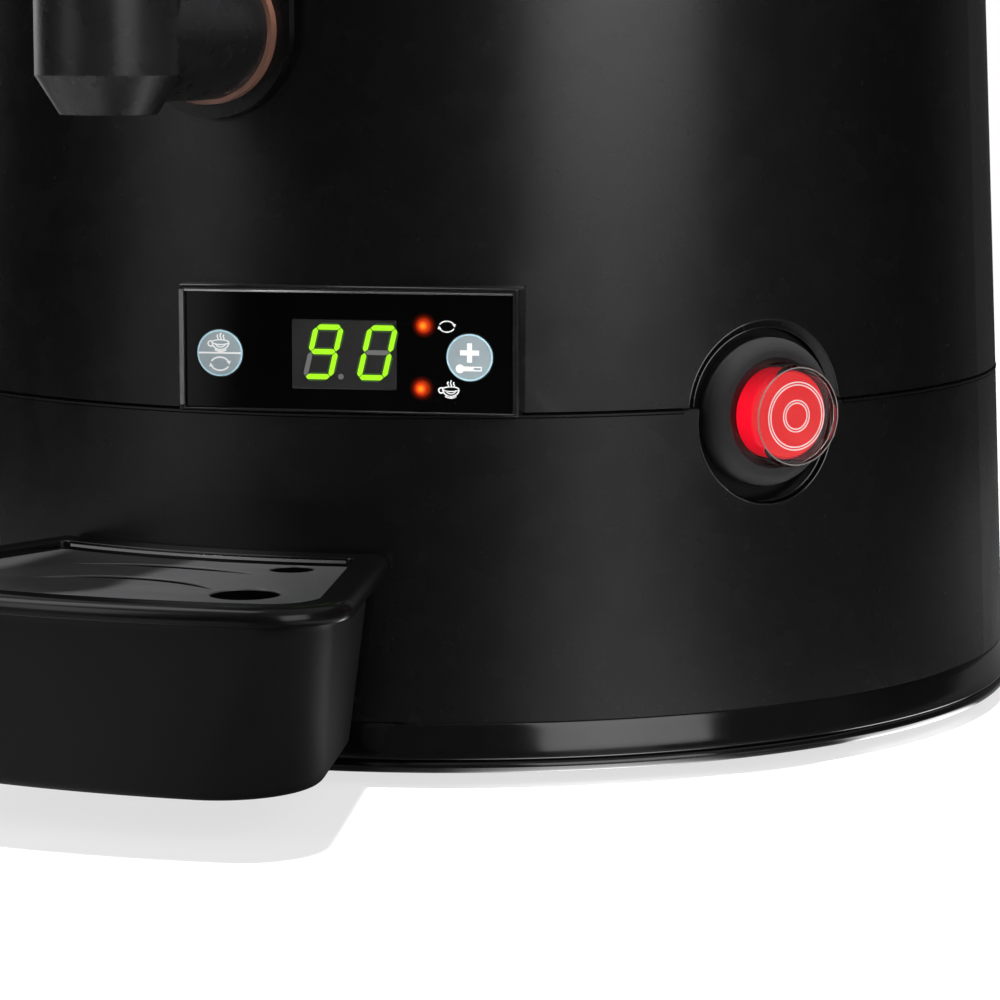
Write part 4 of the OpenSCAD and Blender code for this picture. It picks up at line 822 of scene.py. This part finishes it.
# Soft ring round the button
RING_R = 16.5
RING_IN = CAP_R + 0.4
RING_FRONT = SWITCH_WALL + 2.6
RING_ROUND = 3
RING_CHAMFER = 0.6
RING_FLOOR = SWITCH_WALL - 3.6
ring_side = [(RING_IN, RING_FLOOR), (RING_R, RING_FLOOR)]
ring_side += arc(RING_R - RING_ROUND, RING_FRONT - RING_ROUND, RING_ROUND, 0, 90, 10)
ring_side += [(RING_IN + RING_CHAMFER, RING_FRONT), (RING_IN, RING_FRONT - RING_CHAMFER)]
verts, faces = revolve(ring_side, 128)
soft_ring = piece("switch_soft_ring", verts, faces, ON_SWITCH, RING, "machine")
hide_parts("switch_ring")

# Moulded beads and chamfers at the mouth of the switch recess
RECESS_R = 20.4
LOW_RECESS_R = 18.2
LOW_RECESS_DROP = 2.3
BEAD_R = 0.17
BEAD_OUT = 0.1
STEP_R = 18.7
LOW_STEP_R = LOW_RECESS_R - 0.6
STEP_DROP = 1.2
CHAMFER_T = 0.3
CHAMFER_DROP = 0.05
UPPER_SPAN = (6, 174)
LOWER_SPAN = (170, 370)
LOW_STEP_SPAN = (262, 350)
WALL_STEPS = 72


def on_wall(radius, angle, drop, fall):
    """A point on the drum wall, or a drop into it, about a point some way below the switch's axis."""
    a, b = radius * math.cos(angle), radius * math.sin(angle) - fall
    return Vector((a, b, math.sqrt(shell_r(SWITCH_Z + b) ** 2 - a * a) - drop))


def wall_angles(start, end):
    """Evenly spaced angles between two, given in degrees."""
    return [math.radians(start + (end - start) * i / WALL_STEPS) for i in range(WALL_STEPS + 1)]


def bead_on_wall(radius, span, drop, fall, sides=8):
    """A thin bead along the drum wall, or a drop into it, between two angles."""
    rings = []
    for t in wall_angles(*span):
        along = Vector((math.cos(t), math.sin(t), 0))
        ring = []
        for j in range(sides):
            s = 2 * math.pi * j / sides
            point = on_wall(radius, t, drop, fall) + along * BEAD_R * math.cos(s)
            point += Vector((0, 0, BEAD_R * math.sin(s)))
            ring.append(tuple(point))
        rings.append(ring)
    return skin(rings, cap_start=True, cap_end=True)


for name, radius, span, drop, fall in (
        ("recess_bead_upper", RECESS_R + BEAD_OUT, UPPER_SPAN, 0, 0),
        ("recess_bead_step", STEP_R, UPPER_SPAN, STEP_DROP, 0),
        ("recess_bead_lower", LOW_RECESS_R + BEAD_OUT, LOWER_SPAN, 0, LOW_RECESS_DROP),
        ("recess_bead_low_step", LOW_STEP_R, LOW_STEP_SPAN, STEP_DROP, LOW_RECESS_DROP)):
    verts, faces = bead_on_wall(radius, span, drop, fall)
    piece(name, verts, faces, ON_SWITCH, BEAD, "machine")
for name, outer, inner, span, fall in (
        ("recess_chamfer_upper", RECESS_R, STEP_R, UPPER_SPAN, 0),
        ("recess_chamfer_lower", LOW_RECESS_R, LOW_STEP_R, LOWER_SPAN, LOW_RECESS_DROP)):
    corners = ((outer, CHAMFER_DROP), (inner, STEP_DROP), (inner, STEP_DROP + CHAMFER_T),
               (outer, CHAMFER_DROP + CHAMFER_T))
    rings = [[tuple(on_wall(radius, t, drop, fall)) for radius, drop in corners] for t in wall_angles(*span)]
    verts, faces = skin(rings, cap_start=True, cap_end=True)
    piece(name, verts, faces, ON_SWITCH, SHELL, "machine")

# Seam: a narrow bead in the groove under the edge of the upper shell, over a dark sheet of painted shade
# there, both open at the switch
SEAM_CLEAR = 9.2
SEAM_IN = SEAM_R - 0.7


def part_ring(profile, start, end, steps=320):
    """Vertices and faces of a closed profile turned about the drum's axis between two azimuths."""
    angles = [math.radians(start + (end - start) * i / steps) for i in range(steps + 1)]
    rings = [[(r * math.sin(a), -r * math.cos(a), z) for r, z in profile] for a in angles]
    return skin(rings, cap_start=True, cap_end=True)


for name, low, high, out, material in (("seam_shade", -0.95, -0.03, 0.09, SLOT_SHADE),
                                       ("seam_bead", -0.7, -0.25, 0.17, SHELL)):
    profile = [(SEAM_IN, SEAM_Z + low), (SEAM_R + out, SEAM_Z + low), (SEAM_R + out, SEAM_Z + high),
               (SEAM_IN, SEAM_Z + high)]
    verts, faces = part_ring(profile, SWITCH_AZ + SEAM_CLEAR, SWITCH_AZ - SEAM_CLEAR + 360)
    piece(name, verts, faces, ON_AXIS, material, "machine")

# Foot ring: a sloping polished band over a rounded lip
LIP_R = 140
LIP_H = 2.9
RING_Z = 3.2
RING_TOP = 14.3
FOOT_IN = 134.5
NECK = (139.0, RING_Z + LIP_H + 0.05)
BAND_LOW = (139.75, RING_Z + LIP_H + 0.5)
BAND_HIGH = (138.4, RING_TOP - 0.6)
BAND_TOP = ((138.25, RING_TOP - 0.2), (138.0, RING_TOP))
BAND_ROUND = 0.4
BAND_STEPS = 6
lip = arc(LIP_R - LIP_H / 2, RING_Z + LIP_H / 2, LIP_H / 2, -88, 75, 16)
band_edge = arc(BAND_LOW[0] - BAND_ROUND, BAND_LOW[1], BAND_ROUND, -70, 10, 5)
band_profile = [(FOOT_IN, RING_Z), *lip, NECK, *band_edge]
slope_z = BAND_LOW[1] + BAND_ROUND
for i in range(1, BAND_STEPS + 1):
    share = i / BAND_STEPS
    band_profile.append((BAND_LOW[0] + (BAND_HIGH[0] - BAND_LOW[0]) * share,
                         slope_z + (BAND_HIGH[1] - slope_z) * share))
band_profile += [*BAND_TOP, (FOOT_IN, RING_TOP)]
verts, faces = revolve(band_profile, 360)
foot_band = piece("foot_ring_band", verts, faces, ON_AXIS, BAND, "machine")
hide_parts("foot_ring")

# Drip tray: the CAD's outline at a finer step
TRAY_R = 214
TRAY_HALF = math.radians(17)
RIM_W = 7
TRAY_Z = 10.2
TRAY_WALL = 3
WALL_LEAN = 4
FOOT_GROWTH = 12
TRAY_BACK = shell_r(RIM_Z - RIM_T) + 0.6
FRONT_ROUND = 17
BACK_ROUND = 3.5
BACK_LIP = 0.2
WALL_INSET = RIM_W - TRAY_WALL
FOOT_ROUND = 2.5
LEAST_CORNER = 2
RIM_EDGE = 2.6
RIM_LOW_EDGE = 1
RIM_IN_EDGE = 0.5
RIM_CREST = 3.2
CREST_LIFT = 0.6
RIM_FLAT = 4
LEDGE_W = 1.6
FLOOR_ROUND = 2
EDGE_STEPS = 6
GRID_T = 2.2
GRID_TOP = RIM_Z - 1.9
LEDGE_Z = GRID_TOP - GRID_T - 0.3
TRAY_FLOOR = TRAY_Z + TRAY_WALL
SWEEP = 72
CORNER = 18


def fan(d, growth=0):
    """Outline of the tray drawn in by an inset, as x, y and the share of the back lip there."""
    fr, br = max(FRONT_ROUND - d, LEAST_CORNER) + growth, max(BACK_ROUND - d, LEAST_CORNER)
    rf, rb = TRAY_R - d - fr, TRAY_BACK + d + br
    af = TRAY_HALF - math.asin((d + fr) / rf)
    ab = TRAY_HALF - math.asin((d + br) / rb)
    quarter = math.pi / 2

    def corner(r, a, turn, b, share):
        return (r * math.sin(a) + turn * math.sin(b), -r * math.cos(a) - turn * math.cos(b), share)

    points = []
    for i in range(SWEEP + 1):
        a = -af + 2 * af * i / SWEEP
        points.append(((TRAY_R - d) * math.sin(a), -(TRAY_R - d) * math.cos(a), 0))
    for i in range(1, CORNER + 1):
        points.append(corner(rf, af, fr, af + (quarter + TRAY_HALF - af) * i / CORNER, 0))
    for i in range(CORNER + 1):
        t = i / CORNER
        points.append(corner(rb, ab, br, quarter + TRAY_HALF + (quarter + ab - TRAY_HALF) * t,
                             t * t * (3 - 2 * t)))
    for i in range(1, SWEEP):
        a = ab - 2 * ab * i / SWEEP
        points.append(((TRAY_BACK + d) * math.sin(a), -(TRAY_BACK + d) * math.cos(a), 1))
    for i in range(CORNER + 1):
        t = 1 - i / CORNER
        points.append(corner(rb, -ab, br, -quarter - TRAY_HALF - (quarter + ab - TRAY_HALF) * t,
                             t * t * (3 - 2 * t)))
    for i in range(CORNER):
        points.append(corner(rf, -af, fr, -af - (quarter + TRAY_HALF - af) * (1 - i / CORNER), 0))
    return points


def fan_ring(d, z, lift, growth=0):
    """One ring of the tray at an inset and a height, raised towards the back, with rounder front corners."""
    return [(x, y, z + lift * BACK_LIP * share) for x, y, share in fan(d, growth)]


turns = [math.pi / 2 * i / EDGE_STEPS for i in range(EDGE_STEPS + 1)]
foot = WALL_INSET + WALL_LEAN
rim_low = RIM_Z - RIM_T
tray_rings = [fan_ring(foot + FOOT_ROUND * (1 - math.sin(a)), TRAY_Z + FOOT_ROUND * (1 - math.cos(a)), 0,
                       FOOT_GROWTH) for a in turns]
tray_rings += [fan_ring(WALL_INSET, rim_low, 0)]
tray_rings += [fan_ring(RIM_LOW_EDGE * (1 - math.sin(a)), rim_low + RIM_LOW_EDGE * (1 - math.cos(a)), 0)
               for a in turns]
tray_rings += [fan_ring(RIM_EDGE * (1 - math.cos(a)), RIM_Z - RIM_EDGE * (1 - math.sin(a)), 1) for a in turns]
tray_rings += [fan_ring(RIM_CREST, RIM_Z, CREST_LIFT), fan_ring(RIM_FLAT, RIM_Z, 0)]
tray_rings += [fan_ring(RIM_W + RIM_IN_EDGE * (math.sin(a) - 1), RIM_Z + RIM_IN_EDGE * (math.cos(a) - 1), 0)
               for a in turns]
tray_rings += [fan_ring(RIM_W, LEDGE_Z, 0), fan_ring(RIM_W + LEDGE_W, LEDGE_Z, 0),
               fan_ring(RIM_W + WALL_LEAN, TRAY_FLOOR + FLOOR_ROUND, 0, FOOT_GROWTH),
               fan_ring(RIM_W + WALL_LEAN + FLOOR_ROUND, TRAY_FLOOR, 0, FOOT_GROWTH)]
verts, faces = skin(tray_rings, cap_start=True, cap_end=True)
tray_shell = piece("drip_tray_shell", verts, faces, ON_AXIS, TRAY, "tray", sharp=50)
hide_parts("drip_tray")

# Painted highlight: a lighter line along the rim's inner back wall
LINE_TOP = RIM_Z - 0.7
LINE_FOOT = RIM_Z - 1.3
LINE_SINK = 0.1
LINE_PROUD = 0.06
back_wall = [(x, y) for x, y, share in fan(RIM_W - LINE_SINK) if share == 1]
back_face = [(x, y) for x, y, share in fan(RIM_W + LINE_PROUD) if share == 1]
rings = [[(*wall, LINE_TOP), (*face, LINE_TOP), (*face, LINE_FOOT), (*wall, LINE_FOOT)]
         for wall, face in zip(back_wall, back_face)]
verts, faces = skin(rings, cap_start=True, cap_end=True)
piece("drip_tray_back_highlight", verts, faces, ON_AXIS, BACK_HIGHLIGHT, "tray")

# Tongues that hold the tray in the drum
TONGUE_X = 21
TONGUE_W = 14
TONGUE_T = 4
TONGUE_Z = (TRAY_Z + RIM_Z) / 2 + 5
TONGUE_ROOT = TRAY_BACK + 5.5
TONGUE_END = TRAY_BACK - 17
TONGUE_ROUND = 1
TONGUE_BEVEL = 0.6
tongues = [rounded_rectangle(x - TONGUE_W / 2, -TONGUE_ROOT, x + TONGUE_W / 2, -TONGUE_END, TONGUE_ROUND)
           for x in (-TONGUE_X, TONGUE_X)]
verts, faces = plate([(tongue, []) for tongue in tongues], TONGUE_Z - TONGUE_T / 2, TONGUE_Z + TONGUE_T / 2,
                     TONGUE_BEVEL)
piece("drip_tray_tongues", verts, faces, ON_AXIS, TRAY, "tray")

# Grid with curved slots and round holes
GRID_GAP = 0.3
GRID_BEVEL = 0.35
SAME_POINT = 1e-4
SHADE_OUT = 0.1
SHADE_IN = 0.12
SHADE_TOP = GRID_TOP - 0.4
SLOT_CENTRE = 200
SLOT_W = 3.6
SLOTS = ((28, 48), (45, 28))
HOLE_AZ = math.radians(9.4)
HOLES = ((185, 14.6), (TRAY_BACK + 13, 9.6))


def crescent(radius, tip):
    """A curved slot between two circles that meet at its tips, open towards the drum."""
    edge = radius + SLOT_W / 2
    shift = SLOT_W * (2 * edge - SLOT_W) / (2 * edge * (1 - math.cos(math.radians(tip))) - 2 * SLOT_W)
    inner = edge - SLOT_W + shift
    half = math.radians(tip)
    steps = 60
    outer_points = []
    inner_points = []
    for i in range(steps + 1):
        a = -half + 2 * half * i / steps
        outer_points.append((edge * math.sin(a), edge * math.cos(a) - SLOT_CENTRE))
    half_in = math.atan2(edge * math.sin(half), edge * math.cos(half) + shift)
    for i in range(1, steps):
        a = half_in - 2 * half_in * i / steps
        inner_points.append((inner * math.sin(a), inner * math.cos(a) - shift - SLOT_CENTRE))
    return outer_points + inner_points


grid_holes = [crescent(radius, tip) for radius, tip in SLOTS]
for radius, width in HOLES:
    grid_holes.append(circle(radius * math.sin(HOLE_AZ), -radius * math.cos(HOLE_AZ), width / 2, 48))
grid_low = GRID_TOP - GRID_T
outline = [(x, y) for x, y, share in fan(RIM_W + GRID_GAP)]
clean = [p for i, p in enumerate(outline) if math.dist(p, outline[i - 1]) > SAME_POINT]
verts, faces = plate([(clean, grid_holes)], grid_low, GRID_TOP, GRID_BEVEL)
grid_plate = piece("tray_grid_plate", verts, faces, ON_AXIS, GRID, "grid")
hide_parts("tray_grid")
# Dark linings inside the slots and holes: painted shade
verts, faces = [], []
for hole in grid_holes:
    outer, inner = offset(hole, SHADE_OUT), offset(hole, -SHADE_IN)
    corners = ((outer, grid_low), (inner, grid_low), (inner, SHADE_TOP), (outer, SHADE_TOP),
               (outer, grid_low))
    ring_verts, ring_faces = skin([[(x, y, z) for x, y in points] for points, z in corners])
    faces += [tuple(i + len(verts) for i in face) for face in ring_faces]
    verts += ring_verts
piece("grid_hole_shade", verts, faces, ON_AXIS, SLOT_SHADE, "grid")


# Studio: a pale floor that fades into a white sky, soft boxes, and cards seen only in reflections
WHEEL_STEPS = 96


def stage_mesh(name, verts, faces, material):
    """A mesh in metres about the drum's axis that belongs to the studio."""
    mesh = bpy.data.meshes.new(name)
    mesh.from_pydata(verts, [], faces)
    mesh.shade_smooth()
    mesh.materials.append(material)
    obj = bpy.data.objects.new(name, mesh)
    obj.location = AXIS * MM
    bpy.context.scene.collection.objects.link(obj)
    obj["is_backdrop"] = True
    return obj


def wheel(radius, z):
    """Points round a circle at a height, in metres."""
    angles = [2 * math.pi * i / WHEEL_STEPS for i in range(WHEEL_STEPS)]
    return [(radius * math.sin(a), radius * math.cos(a), z) for a in angles]


FLOOR_NEAR = 0.9
FLOOR_FAR = 1.6
FLOOR_WHITE = 0.7


def floor_finish():
    """A pale matt floor that thins out between two distances from the drum."""
    material = finish("floor_white", (0.9, 0.9, 0.9), 0.8, vary=0.01)
    tree = material.node_tree
    place = tree.nodes.new("ShaderNodeTexCoord")
    away = tree.nodes.new("ShaderNodeVectorMath")
    away.operation = "LENGTH"
    tree.links.new(place.outputs["Object"], away.inputs[0])
    share = spread(tree, away.outputs["Value"], 1, 0, FLOOR_NEAR, FLOOR_FAR)
    shader = tree.nodes["Principled BSDF"]
    tree.links.new(share, shader.inputs["Alpha"])
    white = tree.nodes.new("ShaderNodeEmission")
    path = tree.nodes.new("ShaderNodeLightPath")
    amount = calculate(tree, "MULTIPLY", path.outputs["Is Camera Ray"], FLOOR_WHITE)
    mixed = tree.nodes.new("ShaderNodeMixShader")
    tree.links.new(amount, mixed.inputs[0])
    tree.links.new(shader.outputs["BSDF"], mixed.inputs[1])
    tree.links.new(white.outputs["Emission"], mixed.inputs[2])
    tree.links.new(mixed.outputs["Shader"], tree.nodes["Material Output"].inputs["Surface"])
    return material


stage_mesh("floor", wheel(FLOOR_FAR, 0), [tuple(reversed(range(WHEEL_STEPS)))], floor_finish())


def card_finish(name, levels):
    """A card that gives off a soft light whose level changes with the azimuth about the drum."""
    material = bare_material(name)
    tree = material.node_tree
    place = tree.nodes.new("ShaderNodeTexCoord")
    split = tree.nodes.new("ShaderNodeSeparateXYZ")
    tree.links.new(place.outputs["Object"], split.inputs["Vector"])
    front = calculate(tree, "MULTIPLY", split.outputs["Y"], -1)
    angle = calculate(tree, "ARCTAN2", split.outputs["X"], front)
    most = max(level for azimuth, level in levels)
    stops = [(azimuth / 360 + 0.5, [level / most] * 3) for azimuth, level in levels]
    glow = ramp_glow(tree, spread(tree, angle, 0, 1, -math.pi, math.pi), stops, most)
    out = tree.nodes.new("ShaderNodeOutputMaterial")
    tree.links.new(glow, out.inputs["Surface"])
    return material


# Levels of light by azimuth from the front: tent, floor near the machine, floor at its foot, ceiling
TENT = ((-180, 0.05), (-150, 0.3), (-130, 0.6), (-118, 1.2), (-105, 0.6), (-90, 0.02), (-60, 0.01),
        (-50, 0.05), (-41, 0.26), (-31, 0.43), (-22, 0.26), (-14, 0.02), (-6, 0.015), (3, 0.03), (17, 0.055),
        (26, 0.06), (33, 0.06), (41, 0.12), (49, 0.36), (57, 0.4), (65, 0.05), (74, 0.03), (83, 0.1),
        (100, 0.09), (121, 0.02), (140, 0.02), (165, 0.08), (180, 0.05))
NEAR = ((-180, 0.1), (-140, 0.25), (-100, 0.1), (-40, 0.6), (-2, 0.65), (3, 0.45), (8, 0.2), (13, 0.1),
        (20, 0.08), (28, 0.16), (36, 0.53), (45, 0.92), (54, 0.87), (63, 0.43), (74, 0.18), (100, 0.1),
        (140, 0.2), (180, 0.1))
EDGE = ((-180, 0.1), (-100, 0.2), (-40, 0.2), (14, 0.1), (22, 0.5), (27, 4.0), (32, 7.5), (38, 8.0),
        (42, 6.0), (46, 3.0), (50, 0.5), (58, 0.2), (63, 0.3), (67, 7.0), (80, 7.0), (90, 0.3), (140, 0.2),
        (180, 0.1))
CEILING = ((-180, 0.45), (-30, 0.4), (-14, 0.35), (-7, 0.06), (7, 0.06), (16, 0.3), (180, 0.45))
CARD_Z = 0.0006
EDGE_R = (0.136, 0.15)
NEAR_R = 0.6
TENT_R = 6
TENT_H = 5
CROWN_R = 0.05
verts, faces = skin([wheel(EDGE_R[0], CARD_Z), wheel(EDGE_R[1], CARD_Z)])
edge_card = stage_mesh("edge_card", verts, faces, card_finish("edge_card", EDGE))
verts, faces = skin([wheel(EDGE_R[1], CARD_Z), wheel(NEAR_R, CARD_Z)])
near_card = stage_mesh("near_card", verts, faces, card_finish("near_card", NEAR))
verts, faces = skin([wheel(NEAR_R, CARD_Z), wheel(TENT_R, CARD_Z), wheel(TENT_R, TENT_H)])
tent = stage_mesh("tent", verts, faces, card_finish("tent", TENT))
verts, faces = skin([wheel(TENT_R, TENT_H), wheel(CROWN_R, TENT_H)], cap_end=True)
ceiling = stage_mesh("ceiling", verts, faces, card_finish("ceiling", CEILING))
for card in (edge_card, near_card, tent, ceiling):
    card.visible_camera = False
    card.visible_diffuse = False
    card.visible_transmission = False
    card.visible_shadow = False


AIM_Z = 0.08


def softbox(name, azimuth, elevation, distance, width, height, level):
    """A rectangular lamp at a direction from the drum, facing it, of a level of light."""
    a, e = math.radians(azimuth), math.radians(elevation)
    way = Vector((math.sin(a) * math.cos(e), -math.cos(a) * math.cos(e), math.sin(e)))
    data = bpy.data.lights.new(name, "AREA")
    data.shape = "RECTANGLE"
    data.size = width
    data.size_y = height
    data.energy = level * math.pi * width * height
    lamp = bpy.data.objects.new(name, data)
    lamp.location = AXIS * MM + UP * AIM_Z + way * distance
    lamp.rotation_euler = (-way).to_track_quat("-Z", "Y").to_euler()
    bpy.context.scene.collection.objects.link(lamp)
    return lamp


# Lamps: azimuth from the front, elevation, distance, width, height and level of light
softbox("box_right", 56, 22.3, 2.4, 1.5, 1.5, 2.85)
softbox("box_left", -31, 25, 2.4, 1.1, 1.25, 1.9)
softbox("box_top", -60, 62, 1.8, 0.8, 1.2, 3.0).visible_diffuse = False
softbox("box_over", 51.5, 79.8, 1.575, 0.06, 0.06, 7000).visible_glossy = False
softbox("box_back", 180, 35, 2.6, 1.6, 1.0, 1.5)

# Sky: full where the camera, reflections and clear pieces see it, and dim as a lamp
SKY_DIM = 0.25
SKY_FULL = 1.0
world = bpy.data.worlds.new("studio")
bpy.context.scene.world = world
world.use_nodes = True
sky = world.node_tree
background = sky.nodes["Background"]
background.inputs["Color"].default_value = (1, 1, 1, 1)
path = sky.nodes.new("ShaderNodeLightPath")
seen = calculate(sky, "MAXIMUM", path.outputs["Is Camera Ray"], path.outputs["Is Glossy Ray"])
seen = calculate(sky, "MAXIMUM", seen, path.outputs["Is Transmission Ray"])
sky.links.new(spread(sky, seen, SKY_DIM, SKY_FULL, 0, 1), background.inputs["Strength"])

# Camera of the photo
SENSOR_W = 36
LENS = 128
CAMERA_AT = (0.35166, -0.79145, 0.166)
CAMERA_TILT = math.radians(82.32)
CAMERA_TURN = math.radians(22.3)
camera_data = bpy.data.cameras.new("camera")
camera_data.sensor_width = SENSOR_W
camera_data.lens = LENS
camera = bpy.data.objects.new("camera", camera_data)
camera.location = CAMERA_AT
camera.rotation_euler = (CAMERA_TILT, 0, CAMERA_TURN)
bpy.context.scene.collection.objects.link(camera)
bpy.context.scene.camera = camera
bpy.context.scene.view_settings.view_transform = "Standard"

low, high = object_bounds()
